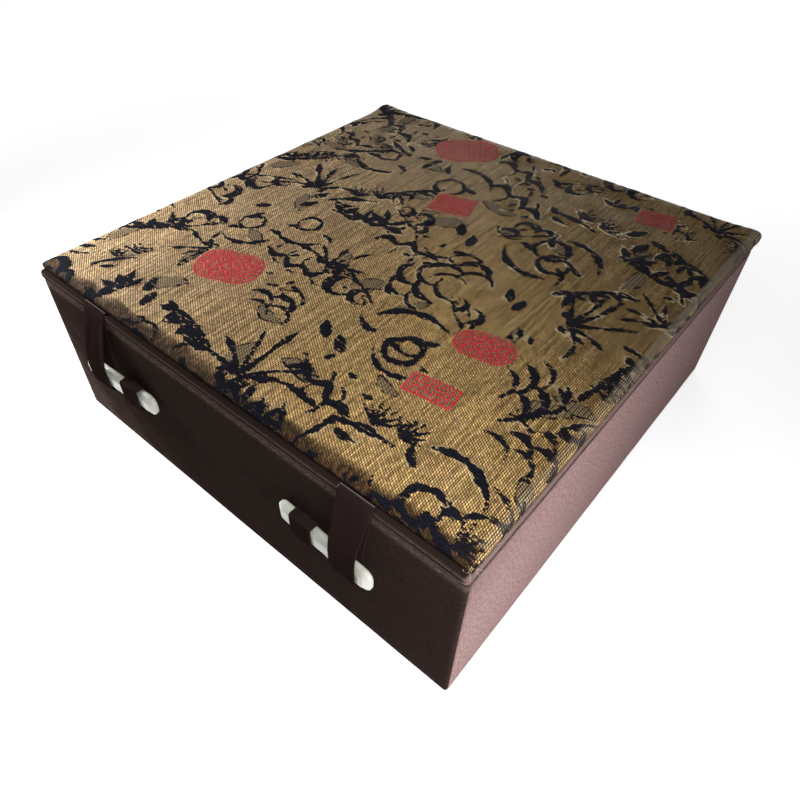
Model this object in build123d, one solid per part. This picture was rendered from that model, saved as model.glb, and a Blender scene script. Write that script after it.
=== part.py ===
from build123d import *
import os
from math import asin, cos, degrees, radians, sin

# Brocade keepsake box: a cloth-covered card case, a padded lid on a cloth hinge along the back
# edge, and two bone toggles that hold the lid's ribbon loops against the front wall.
# Millimetres. The origin is the centre of the case's underside, +Z is up, the front wall faces -Y.

# Case
case_width = 200.0
case_depth = 203.5
case_height = 66.5
wall_thickness = 3.0
base_thickness = 3.0
corner_radius = 2.5
foot_round = 1.1
rim_round = 0.4
book_cloth = 0.5
turn_in = 14.0
base_cover_thickness = 0.3
base_cover_margin = 4.0

# Lid
seam_gap = 0.5
liner_thickness = 2.7
lip_overhang = 0.3
lip_round = 0.9
lid_corner_radius = 1.5
panel_front_inset = 1.5
panel_side_inset = 0.3
panel_board_thickness = 1.5
panel_wadding = 1.1
panel_roll_width = 6.0
panel_roll_height = 2.0
brocade = 0.45
hinge_strip_thickness = 0.2
hinge_strip_reach = 13.0

# Lining
satin = 0.3
lining_card = 1.0
lining_gap = 0.3
lining_drop = 1.0
lining_fit = 0.3
lining_turn_in = 8.0
floor_wadding = 4.0
floor_roll_width = 14.0
floor_roll_height = 3.2
floor_corner_radius = 3.0
lid_lining_margin = 1.5
lid_lining_wadding = 0.6
lid_lining_roll_width = 3.0
lid_lining_roll_height = 1.0

# Toggles, placed below the case's top edge and by the distance of their middle plane from the
# front wall at each end
toggle_length = 42.5
toggle_width = 9.0
toggle_thickness = 3.0
toggle_end_radius = 3.8
toggle_front_bevel_width = 1.6
toggle_front_bevel_depth = 0.9
toggle_back_bevel = 0.5
toggle_centre = 52.6
toggle_drop = 23.8
toggle_inner_standoff = 3.1
toggle_outer_standoff = 5.2

# Straps that tie the toggles to the front wall. Their place is a share of the toggle's length
# from its middle towards the centre of the wall. Inside, their tails take up a share of the room
# between the toggles' level and the edge of the turned-in cloth.
strap_place_share = 0.19
strap_width = 9.5
strap_thickness = 0.5
strap_clearance = 0.3
strap_slot_clearance = 0.1
strap_bend = 1.0
strap_tail_share = 0.86
strap_tail_bend = 0.3

# Ribbon loops of the lid. Their place is a share of the toggle's length from its middle outward.
ribbon_place_share = 0.233
ribbon_width = 11.5
ribbon_thickness = 0.25
ribbon_clearance = 0.35
ribbon_slot_clearance = 0.05
ribbon_lip_gap = 0.15
ribbon_lip_bend = 0.35
ribbon_bend = 1.2
ribbon_tail = 12.0
ribbon_front_rise = 3.0

# Flat bands that a pad's rolled edge is made of
roll_bands = 8

# How far a cut runs past what it cuts
overrun = 5.0


# Plans are rectangles given by their left, right, front and back sides

def shrink(plan, amount):
    left, right, front, back = plan
    return left + amount, right - amount, front + amount, back - amount


def outline(plan, height, radius=0):
    left, right, front, back = plan
    place = Pos((left + right) / 2, (front + back) / 2, height)
    if radius > 0:
        return place * RectangleRounded(right - left, back - front, radius)
    return place * Rectangle(right - left, back - front)


def slab(plan, low, high, radius=0):
    return extrude(outline(plan, low, radius), high - low)


def centred_plan(width, depth):
    return -width / 2, width / 2, -depth / 2, depth / 2


def rounded_rims(body, low_radius, high_radius):
    """Rounds the whole lower rim and the whole upper rim of an upright slab."""
    levels = body.faces().filter_by(Axis.Z).sort_by(Axis.Z)
    body = fillet(levels[0].edges(), low_radius)
    levels = body.faces().filter_by(Axis.Z).sort_by(Axis.Z)
    return fillet(levels[-1].edges(), high_radius)


# Padded panels: a card, a layer of wadding, and a cover turned in under the card

def rolled_pad(plan, high, roll_width, roll_height, radius, inward):
    """A pad whose upper edges roll over to the sides, offset inward all round."""
    shoulder = high - roll_height
    wide, tall = roll_width - inward, roll_height - inward
    rings = [outline(shrink(plan, inward), inward)]
    for step in range(roll_bands + 1):
        angle = radians(90 * step / roll_bands)
        inset = inward + wide * (1 - cos(angle))
        rings.append(outline(shrink(plan, inset), shoulder + tall * sin(angle)))
    return loft(rings, ruled=True) & slab(shrink(plan, inward), 0, high, radius - inward)


def padded_panel(plan, card, wadding, cover, turned, roll_width, roll_height, radius):
    """Card, wadding and cover of a panel that lies with its turn-ins on the level zero."""
    high = 2 * cover + card + wadding
    outer = rolled_pad(plan, high, roll_width, roll_height, radius, 0)
    inner = rolled_pad(plan, high, roll_width, roll_height, radius, cover)
    window = slab(shrink(plan, turned), -overrun, cover)
    card_level = cover + card
    return (
        inner & slab(plan, 0, card_level),
        inner & slab(plan, card_level, high),
        outer - inner - window,
    )


# Case

case_plan = centred_plan(case_width, case_depth)
board_plan = shrink(case_plan, book_cloth)
inner_plan = shrink(board_plan, wall_thickness)
turned_plan = shrink(inner_plan, book_cloth)
board_low = base_cover_thickness + book_cloth
board_high = case_height - book_cloth
front_face = case_plan[2]
back_face = case_plan[3]
strap_slot_height = 2 * (strap_thickness + strap_slot_clearance)
toggle_height = case_height - toggle_drop
strap_centre = toggle_centre - strap_place_share * toggle_length
ribbon_centre = toggle_centre + ribbon_place_share * toggle_length


def strap_slots():
    """Slots in the front wall that the toggle straps are pulled through."""
    slots = []
    for side in (-1, 1):
        plan = (
            side * strap_centre - strap_width / 2,
            side * strap_centre + strap_width / 2,
            front_face - overrun,
            inner_plan[2] + overrun,
        )
        low = toggle_height - strap_slot_height / 2
        slots.append(slab(plan, low, low + strap_slot_height))
    return slots


def wall_ring():
    outer = slab(board_plan, board_low, board_high, corner_radius - book_cloth)
    return outer - slab(inner_plan, board_low, board_high)


def make_walls():
    """Front and back boards run the full width, and the side boards stand between them."""
    left, right, front, back = board_plan
    inner_left, inner_right, inner_front, inner_back = inner_plan
    pieces = {
        "front_board": (left, right, front, inner_front),
        "back_board": (left, right, inner_back, back),
        "left_board": (left, inner_left, inner_front, inner_back),
        "right_board": (inner_right, right, inner_front, inner_back),
    }
    ring = wall_ring()
    walls = {name: ring & slab(plan, board_low, board_high) for name, plan in pieces.items()}
    for slot in strap_slots():
        walls["front_board"] -= slot
    return walls


def make_case_cloth():
    """Brown cloth round the four walls, over the rim to the inside and in under the base."""
    cloth = slab(case_plan, base_cover_thickness, case_height, corner_radius)
    cloth = rounded_rims(cloth, foot_round, rim_round)
    cloth -= wall_ring()
    cloth -= slab(inner_plan, board_low, board_high - turn_in)
    cloth -= slab(turned_plan, board_high - turn_in, case_height + overrun)
    cloth -= slab(shrink(case_plan, turn_in), -overrun, board_low)
    for slot in strap_slots():
        cloth -= slot
    return cloth


def make_base_cover():
    """The sheet under the base, down on the board inside the cloth's turned-in edge."""
    face = slab(shrink(case_plan, base_cover_margin), 0, base_cover_thickness)
    return face + slab(shrink(case_plan, turn_in), base_cover_thickness, board_low)


# Lid

lid_low = case_height + seam_gap
hinge_level = case_height + seam_gap / 2
liner_high = lid_low + 2 * book_cloth + liner_thickness
ribbon_slot_height = 2 * ribbon_thickness + ribbon_slot_clearance
liner_plan = (case_plan[0], case_plan[1], front_face - lip_overhang, back_face)
panel_plan = (
    case_plan[0] + panel_side_inset,
    case_plan[1] - panel_side_inset,
    front_face + panel_front_inset,
    back_face + brocade,
)


def make_back_brocade():
    """The lid's brocade carried on below the hinge line, down the back wall."""
    left, right = case_plan[0] + corner_radius, case_plan[1] - corner_radius
    foot = base_cover_thickness + foot_round
    return slab((left, right, back_face, back_face + brocade), foot, hinge_level)


def make_lid_panel():
    """The brocade panel of the lid, with the brocade's flap down to the hinge line."""
    board, wadding, cover = padded_panel(
        panel_plan, panel_board_thickness, panel_wadding, brocade, turn_in,
        panel_roll_width, panel_roll_height, lid_corner_radius,
    )
    place = Pos(0, 0, liner_high)
    left, right = case_plan[0] + corner_radius, case_plan[1] - corner_radius
    flap = slab((left, right, back_face, back_face + brocade), hinge_level, liner_high)
    return {
        "lid_board": place * board,
        "lid_wadding": place * wadding,
        "lid_brocade": place * cover + flap,
    }


def make_liner():
    """The lower board of the lid in its brown cloth. Its front edge is the lip over the seam."""
    core = slab(
        shrink(liner_plan, book_cloth),
        lid_low + book_cloth,
        liner_high - book_cloth,
        lid_corner_radius - book_cloth,
    )
    cloth = rounded_rims(
        slab(liner_plan, lid_low, liner_high, lid_corner_radius), lip_round, lip_round
    )
    cloth -= core
    cloth -= slab(shrink(liner_plan, turn_in), liner_high - book_cloth, liner_high + overrun)
    for side in (-1, 1):
        notch = (
            side * ribbon_centre - ribbon_width / 2,
            side * ribbon_centre + ribbon_width / 2,
            liner_plan[2] - overrun,
            liner_plan[2] + turn_in,
        )
        cloth -= slab(notch, liner_high - ribbon_slot_height, liner_high + overrun)
    return {"lid_liner_board": core, "lid_liner_cloth": cloth}


# Bands of cloth and ribbon: a path in the plane of depth and height, given a thickness and a width

def band(points, bends, thickness, width, centre):
    path = FilletPolyline(*points, radius=bends)
    strip = extrude(Plane.YZ * trace(path, thickness), width / 2, both=True)
    return Pos(centre, 0, 0) * strip


def make_hinge_strip():
    """Cloth inside the hinge: pasted under the lid, folded back on the rim and down the wall."""
    half = hinge_strip_thickness / 2
    fold = back_face - half
    wall = turned_plan[3] - half
    under_lid = lid_low - half
    on_rim = case_height + half
    points = [
        (back_face - hinge_strip_reach, under_lid),
        (fold, under_lid),
        (fold, on_rim),
        (wall, on_rim),
        (wall, case_height - hinge_strip_reach),
    ]
    width = turned_plan[1] - turned_plan[0] - 2 * lining_fit
    return band(points, [half, half, half], hinge_strip_thickness, width, 0)


# Lining

lining_depth = lining_card + 2 * satin
lining_plan = shrink(turned_plan, lining_gap)
cavity_plan = shrink(lining_plan, lining_depth)
floor_level = board_low + base_thickness
lining_high = case_height - lining_drop


def lining_panel(length):
    """Card and satin of a wall lining that faces +Y, with its back on the plane of zero depth."""
    outer_plan = (-length / 2, length / 2, 0, lining_depth)
    height = lining_high - floor_level
    card = slab(shrink(outer_plan, satin), satin, height - satin)
    window_plan = (-length / 2 + lining_turn_in, length / 2 - lining_turn_in, -overrun, satin)
    window = slab(window_plan, lining_turn_in, height - lining_turn_in)
    return card, slab(outer_plan, 0, height) - card - window


def make_wall_linings():
    left, right, front, back = lining_plan
    side_length = back - front - 2 * lining_depth - 2 * lining_fit
    places = {
        "front": (Pos(0, front, floor_level), right - left),
        "back": (Pos(0, back, floor_level) * Rot(0, 0, 180), right - left),
        "left": (Pos(left, 0, floor_level) * Rot(0, 0, -90), side_length),
        "right": (Pos(right, 0, floor_level) * Rot(0, 0, 90), side_length),
    }
    pieces = {}
    for side, (place, length) in places.items():
        card, cover = lining_panel(length)
        pieces["lining_card_" + side] = place * card
        pieces["lining_satin_" + side] = place * cover
    return pieces


def make_floor_pad():
    card, wadding, cover = padded_panel(
        shrink(cavity_plan, lining_fit), lining_card, floor_wadding, satin, turn_in,
        floor_roll_width, floor_roll_height, floor_corner_radius,
    )
    place = Pos(0, 0, floor_level)
    return {
        "floor_card": place * card,
        "floor_wadding": place * wadding,
        "floor_satin": place * cover,
    }


def make_lid_lining():
    """A padded panel like the floor's, turned over and pasted up under the lid."""
    card, wadding, cover = padded_panel(
        shrink(cavity_plan, lid_lining_margin), lining_card, lid_lining_wadding, satin, turn_in,
        lid_lining_roll_width, lid_lining_roll_height, floor_corner_radius,
    )
    place = Pos(0, 0, lid_low - lining_gap) * Rot(180, 0, 0)
    return {
        "lid_lining_card": place * card,
        "lid_lining_wadding": place * wadding,
        "lid_lining_satin": place * cover,
    }


# Clasps

toggle_yaw = degrees(asin((toggle_outer_standoff - toggle_inner_standoff) / toggle_length))


def toggle_standoff(across):
    """Distance of the toggle's middle plane from the front wall, at a place along the wall."""
    share = (across - toggle_centre) / toggle_length
    middle = (toggle_inner_standoff + toggle_outer_standoff) / 2
    return middle + share * (toggle_outer_standoff - toggle_inner_standoff)


def toggle_bar():
    """A flat bone bar lying along X, with its bevelled face up."""
    def ring(level, inward):
        plan = shrink(centred_plan(toggle_length, toggle_width), inward)
        return outline(plan, level, toggle_end_radius - inward)

    back, front = -toggle_thickness / 2, toggle_thickness / 2
    rings = [
        ring(back, toggle_back_bevel),
        ring(back + toggle_back_bevel, 0),
        ring(front - toggle_front_bevel_depth, 0),
        ring(front, toggle_front_bevel_width),
    ]
    return loft(rings, ruled=True)


def make_toggle(side):
    place = Pos(side * toggle_centre, front_face - toggle_standoff(toggle_centre), toggle_height)
    return place * Rot(0, 0, -side * toggle_yaw) * Rot(90, 0, 0) * toggle_bar()


def make_strap(side):
    """Strap round the toggle, with both ends through the wall and pasted down inside."""
    half = strap_thickness / 2
    reach = toggle_thickness / 2 + strap_clearance + half
    near = front_face - toggle_standoff(strap_centre - strap_width / 2) + reach
    far = front_face - toggle_standoff(strap_centre + strap_width / 2) - reach
    inside = inner_plan[2] + strap_slot_clearance + half
    rise = toggle_width / 2 + strap_clearance + half
    tail = strap_tail_share * (board_high - turn_in - toggle_height)
    points = [
        (inside, tail),
        (inside, half),
        (near, half),
        (near, rise),
        (far, rise),
        (far, 0),
    ]
    bends = [strap_tail_bend, strap_tail_bend, strap_bend, strap_bend]
    upper = band(points, bends, strap_thickness, strap_width, side * strap_centre)
    return Pos(0, 0, toggle_height) * (upper + mirror(upper, about=Plane.XY))


def make_ribbon(side):
    """Loop of ribbon out of the lid's front seam, down round the toggle and back up behind it."""
    half = ribbon_thickness / 2
    reach = toggle_thickness / 2 + ribbon_clearance + half
    behind = front_face - toggle_standoff(ribbon_centre - ribbon_width / 2) + reach
    before = front_face - toggle_standoff(ribbon_centre + ribbon_width / 2) - reach
    under_lip = liner_plan[2] - ribbon_lip_gap - half
    rise = toggle_width / 2 + ribbon_clearance + half
    tail = liner_plan[2] + ribbon_tail
    seam = liner_high - half
    middle = (before + behind) / 2
    low, high = toggle_height - rise, toggle_height + rise + ribbon_front_rise
    over_lip = under_lip - ribbon_thickness
    in_front = [
        (tail, seam),
        (over_lip, seam),
        (over_lip, lid_low),
        (before, high),
        (before, low),
        (middle, low),
    ]
    at_back = [
        (tail, seam - ribbon_thickness),
        (under_lip, seam - ribbon_thickness),
        (under_lip, lid_low),
        (behind, high),
        (behind, low),
        (middle, low),
    ]
    front_bends = [ribbon_lip_bend + ribbon_thickness] + 3 * [ribbon_bend]
    back_bends = [ribbon_lip_bend] + 3 * [ribbon_bend]
    centre = side * ribbon_centre
    front = band(in_front, front_bends, ribbon_thickness, ribbon_width, centre)
    return front + band(at_back, back_bends, ribbon_thickness, ribbon_width, centre)


def make_nodes():
    nodes = {
        "base_board": slab(inner_plan, board_low, floor_level),
        "base_cover": make_base_cover(),
        "case_cloth": make_case_cloth(),
        "back_brocade": make_back_brocade(),
        "hinge_strip": make_hinge_strip(),
    }
    for group in (make_walls, make_wall_linings, make_floor_pad):
        nodes.update(group())
    for group in (make_lid_panel, make_liner, make_lid_lining):
        nodes.update(group())
    for name, side in (("left", -1), ("right", 1)):
        nodes["toggle_" + name] = make_toggle(side)
        nodes["toggle_strap_" + name] = make_strap(side)
        nodes["ribbon_loop_" + name] = make_ribbon(side)
    return nodes


os.makedirs("parts", exist_ok=True)
for name, shape in make_nodes().items():
    shape.label = name
    export_step(shape, f"parts/{name}.step")
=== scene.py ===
import math

import bpy
import numpy as np
from mathutils import Matrix, Vector


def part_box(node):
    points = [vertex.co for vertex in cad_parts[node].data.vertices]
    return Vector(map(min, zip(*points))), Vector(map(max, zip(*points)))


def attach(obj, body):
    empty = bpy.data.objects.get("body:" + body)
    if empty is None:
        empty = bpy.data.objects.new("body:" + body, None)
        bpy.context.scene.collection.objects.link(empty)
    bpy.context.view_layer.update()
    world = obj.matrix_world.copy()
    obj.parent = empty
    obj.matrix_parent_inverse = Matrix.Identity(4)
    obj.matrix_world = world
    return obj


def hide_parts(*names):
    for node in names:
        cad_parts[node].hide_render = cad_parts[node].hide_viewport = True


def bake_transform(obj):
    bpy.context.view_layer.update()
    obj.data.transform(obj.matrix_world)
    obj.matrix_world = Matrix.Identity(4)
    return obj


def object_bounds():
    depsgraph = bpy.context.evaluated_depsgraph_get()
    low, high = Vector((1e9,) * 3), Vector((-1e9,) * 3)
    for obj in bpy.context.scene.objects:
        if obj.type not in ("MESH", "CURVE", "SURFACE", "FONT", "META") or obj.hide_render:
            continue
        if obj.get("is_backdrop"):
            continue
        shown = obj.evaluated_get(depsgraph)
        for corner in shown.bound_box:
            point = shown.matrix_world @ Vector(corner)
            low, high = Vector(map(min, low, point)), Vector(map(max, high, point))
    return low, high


# A brocade keepsake box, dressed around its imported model. Shapes are worked out in millimetres
# and turned into metres when their mesh is made.

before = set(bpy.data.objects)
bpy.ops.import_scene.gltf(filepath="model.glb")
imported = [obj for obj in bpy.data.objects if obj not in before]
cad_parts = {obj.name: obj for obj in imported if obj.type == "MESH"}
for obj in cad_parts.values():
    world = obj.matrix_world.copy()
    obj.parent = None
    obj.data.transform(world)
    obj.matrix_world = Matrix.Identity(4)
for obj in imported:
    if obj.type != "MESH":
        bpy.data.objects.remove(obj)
cad_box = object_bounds()
MM = 0.001


def node_box(name):
    """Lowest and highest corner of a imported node, in millimetres."""
    return tuple(np.array(corner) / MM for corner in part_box(name))


# Camera, as the photograph was taken: a short lens held close over the near corner

CAMERA_PLACE = (0.13456, -0.17731, 0.21291)
CAMERA_AIM = (0.04584, -0.07298, 0.07420)
CAMERA_ROLL = 0.5736
LENS = 29.275
SHIFT = (0.0279, 0.00195)


def put_in_scene(name, data):
    thing = bpy.data.objects.new(name, data)
    bpy.context.scene.collection.objects.link(thing)
    return thing


def aimed(place, aim, roll=0.0):
    """Where a camera or lamp stands that looks from a place at an aim."""
    turn = (Vector(aim) - Vector(place)).to_track_quat("-Z", "Y").to_matrix().to_4x4()
    return Matrix.Translation(place) @ turn @ Matrix.Rotation(math.radians(roll), 4, "Z")


def set_camera():
    camera = put_in_scene("camera", bpy.data.cameras.new("camera"))
    camera.data.lens = LENS
    camera.data.sensor_width = 36
    camera.data.shift_x, camera.data.shift_y = SHIFT
    camera.data.clip_start = 0.005
    camera.matrix_world = aimed(CAMERA_PLACE, CAMERA_AIM, CAMERA_ROLL)
    bpy.context.scene.camera = camera


# Studio: a pale floor, a white surround and soft lamps

def add_lamp(name, place, aim, size, power, shade=(1, 1, 1)):
    lamp = bpy.data.lights.new(name, "AREA")
    lamp.shape = "RECTANGLE"
    lamp.size, lamp.size_y = size
    lamp.energy = power
    lamp.color = shade
    stand = put_in_scene(name, lamp)
    stand.visible_camera = False
    stand.matrix_world = aimed(place, aim)


def set_surround():
    """White where it is seen, and a weak soft light elsewhere."""
    world = bpy.data.worlds.new("studio")
    bpy.context.scene.world = world
    world.use_nodes = True
    net = Net(world.node_tree)
    white = net.make("ShaderNodeBackground", Color=(1, 1, 1), Strength=1)
    soft = net.make("ShaderNodeBackground", Color=(0.95, 0.97, 1), Strength=0.055)
    shown = net.rays("Is Camera Ray", "Is Transmission Ray", "Is Glossy Ray")
    net.make("ShaderNodeOutputWorld", None, Surface=net.either(shown, soft, white))


def add_floor():
    """A sheet of paper, lifted by some light of its own, that turns plain white far away."""
    side, drop = 3.0, -0.0004
    corners = [(-side, -side, drop), (side, -side, drop), (side, side, drop), (-side, side, drop)]
    mesh = bpy.data.meshes.new("floor")
    mesh.from_pydata(corners, [], [(0, 1, 2, 3)])
    floor = put_in_scene("floor", mesh)
    surface, net = new_look("floor_paper")
    matt = net.make("ShaderNodeBsdfDiffuse", Color=(0.86, 0.86, 0.86))
    lift = net.make("ShaderNodeEmission", Strength=0.72)
    lifted = net.run(net.add("ShaderNodeAddShader"), (matt, lift))
    white = net.make("ShaderNodeEmission", Strength=1)
    far = net.step(net.vector("LENGTH", net.object_place()), 0.17, 0.42)
    shown = net.rays("Is Camera Ray", "Is Glossy Ray")
    seen = net.either(shown, matt, net.either(far, lifted, white))
    net.make("ShaderNodeOutputMaterial", None, Surface=seen)
    mesh.materials.append(surface)
    floor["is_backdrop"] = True


# Wiring of node trees

def reckon(operation, turned=False):
    """A method that reckons with a value by a math node of its own."""
    if turned:
        return lambda self, other: self.net.math(operation, other, self)
    return lambda self, *others: self.net.math(operation, self, *others)


class Value:
    """What a socket gives, so that it can be reckoned with. scaled multiplies, then adds."""

    def __init__(self, net, socket):
        self.net, self.socket = net, socket

    __add__, __radd__ = reckon("ADD"), reckon("ADD", True)
    __sub__, __rsub__ = reckon("SUBTRACT"), reckon("SUBTRACT", True)
    __mul__, __rmul__ = reckon("MULTIPLY"), reckon("MULTIPLY", True)
    __truediv__, __rtruediv__ = reckon("DIVIDE"), reckon("DIVIDE", True)
    __pow__, __abs__ = reckon("POWER"), reckon("ABSOLUTE")
    floor, fract, scaled = reckon("FLOOR"), reckon("FRACT"), reckon("MULTIPLY_ADD")
    least, most, above = reckon("MINIMUM"), reckon("MAXIMUM"), reckon("GREATER_THAN")


class Net:
    """A node tree that is being wired up."""

    def __init__(self, tree):
        self.tree = tree
        tree.nodes.clear()

    def add(self, kind, **settings):
        node = self.tree.nodes.new(kind)
        for name, value in settings.items():
            setattr(node, name, value)
        return node

    def feed(self, socket, value):
        """Links a value to a socket, or sets the socket to a constant. None leaves it alone."""
        if isinstance(value, Value):
            self.tree.links.new(value.socket, socket)
        elif value is not None:
            if socket.type == "RGBA" and len(value) == 3:
                value = (*value, 1.0)
            socket.default_value = value

    def run(self, node, values, out=0):
        """Feeds a node's inputs in their order."""
        for socket, value in zip(node.inputs, values):
            self.feed(socket, value)
        return Value(self, node.outputs[out])

    def make(self, kind, out=0, **values):
        """Adds a node and feeds its inputs by name."""
        node = self.add(kind)
        for name, value in values.items():
            self.feed(node.inputs[name.replace("_", " ")], value)
        return None if out is None else Value(self, node.outputs[out])

    def outputs(self, node):
        return {socket.name: Value(self, socket) for socket in node.outputs}

    def math(self, operation, *values):
        return self.run(self.add("ShaderNodeMath", operation=operation), values)

    def vector(self, operation, *values):
        node = self.add("ShaderNodeVectorMath", operation=operation)
        return self.run(node, values, "Value" if operation == "LENGTH" else "Vector")

    def mix(self, share, first, second, way="MIX"):
        node = self.add("ShaderNodeMix", data_type="RGBA", blend_type=way)
        return self.run(node, (share, *[None] * 5, first, second), 2)

    def between(self, share, first, second):
        node = self.add("ShaderNodeMix", data_type="FLOAT")
        return self.run(node, (share, None, first, second))

    def either(self, share, first, second):
        return self.run(self.add("ShaderNodeMixShader"), (share, first, second))

    def step(self, value, low, high, first=0.0, last=1.0):
        """A soft step from first to last as the value goes from low to high."""
        node = self.add("ShaderNodeMapRange", interpolation_type="SMOOTHSTEP")
        return self.run(node, (value, low, high, first, last))

    def noise(self, place, scale, detail=2.0, rough=0.5):
        return self.make("ShaderNodeTexNoise", "Fac", Vector=place, Scale=scale, Detail=detail,
                         Roughness=rough)

    def chance(self, place):
        node = self.add("ShaderNodeTexWhiteNoise", noise_dimensions="2D")
        return self.run(node, (place,), "Value")

    def stretched(self, place, by):
        return self.vector("MULTIPLY", place, by)

    def split(self, place):
        node = self.add("ShaderNodeSeparateXYZ")
        self.feed(node.inputs[0], place)
        return list(self.outputs(node).values())

    def join(self, x, y, z=0.0):
        return self.run(self.add("ShaderNodeCombineXYZ"), (x, y, z))

    def field(self, name, out="Fac"):
        node = self.add("ShaderNodeAttribute", attribute_type="GEOMETRY", attribute_name=name)
        return Value(self, node.outputs[out])

    def object_place(self):
        return self.make("ShaderNodeTexCoord", "Object")

    def rays(self, *kinds):
        """One where the ray is of any of these kinds, else nought."""
        path = self.outputs(self.add("ShaderNodeLightPath"))
        shown = path[kinds[0]]
        for kind in kinds[1:]:
            shown = shown.most(path[kind])
        return shown

    def use(self, group, **values):
        """Places a shared effect."""
        node = self.add("ShaderNodeGroup")
        node.node_tree = group
        for name, value in values.items():
            self.feed(node.inputs[name], value)
        return self.outputs(node)

    def bump(self, height, distance, strength):
        return self.make("ShaderNodeBump", Height=height, Distance=distance, Strength=strength)


def new_group(name, numbers, gives):
    """A shared effect. It takes a place and numbers with first values, and gives numbers."""
    tree = bpy.data.node_groups.new(name, "ShaderNodeTree")
    tree.interface.new_socket("Place", in_out="INPUT", socket_type="NodeSocketVector")
    for socket, first in numbers.items():
        made = tree.interface.new_socket(socket, in_out="INPUT", socket_type="NodeSocketFloat")
        made.default_value = first
    for socket in gives:
        tree.interface.new_socket(socket, in_out="OUTPUT", socket_type="NodeSocketFloat")
    net = Net(tree)
    return tree, net, net.outputs(net.add("NodeGroupInput")), net.add("NodeGroupOutput").inputs


def weave_group():
    """Threads lying in rows, each float of a row shifted from the row before it."""
    tree, net, given, out = new_group(
        "thread_rows", {"Float": 0.6, "Row": 0.5, "Shift": 0.33}, ("Height", "Luck", "Row Luck"))
    across, along, _ = net.split(given["Place"])
    rows = along / given["Row"]
    row = rows.floor()
    floats = row.scaled(given["Shift"], across / given["Float"])
    crowns = [1.0 - abs(run.fract().scaled(2.0, -1.0)) ** 2.4 for run in (rows, floats)]
    net.feed(out["Height"], crowns[0] * crowns[1])
    net.feed(out["Luck"], net.chance(net.join(floats.floor(), row)))
    net.feed(out["Row Luck"], net.chance(net.join(row, 3.0)))
    return tree


def ragged_group():
    """A mask of what lies inside a drawn edge, which steps from thread to thread."""
    tree, net, given, out = new_group(
        "ragged_edge", {"Distance": 1.0, "Row": 0.5, "Float": 1.4, "Reach": 0.5}, ("Mask",))
    across, along, _ = net.split(given["Place"])
    thread = net.join((across / given["Float"]).floor(), (along / given["Row"]).floor())
    moved = (net.chance(thread) - 0.5).scaled(given["Reach"], given["Distance"])
    net.feed(out["Mask"], net.step(moved, 0.08, -0.08))
    return tree


def nap_group():
    """Short brushed fibres: their height, flecks of lighter fibre ends, and cloudy patches."""
    tree, net, given, out = new_group(
        "brushed_nap", {"Fibre": 0.25}, ("Height", "Fleck", "Mottle", "Patch"))
    place, scale = given["Place"], 1.0 / given["Fibre"]
    fine = net.noise(place, scale, 3.0, 0.65)
    lying = net.noise(net.stretched(place, (0.35, 1.0, 1.0)), scale, 2.0, 0.6)
    net.feed(out["Height"], net.between(0.5, fine, lying))
    net.feed(out["Fleck"], net.step(fine, 0.52, 0.72))
    net.feed(out["Mottle"], net.step(net.noise(place, 0.85, 3.0, 0.6), 0.36, 0.64))
    net.feed(out["Patch"], net.noise(place, 0.09, 3.0, 0.55))
    return tree


# Looks

def new_look(name):
    look = bpy.data.materials.new(name)
    look.use_nodes = True
    return look, Net(look.node_tree)


def dress(look, net, **values):
    """Ends a look with its shader, whose sockets are fed by name."""
    skin = net.make("ShaderNodeBsdfPrincipled", **values)
    net.make("ShaderNodeOutputMaterial", None, Surface=skin)
    return look


# The brocade's ground is a twill: diagonal ridges this many to the millimetre across and along,
# cut by the gaps between its upright threads

TWILL = (0.7, 1.01)
THREAD_GAP = 0.705


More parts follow.
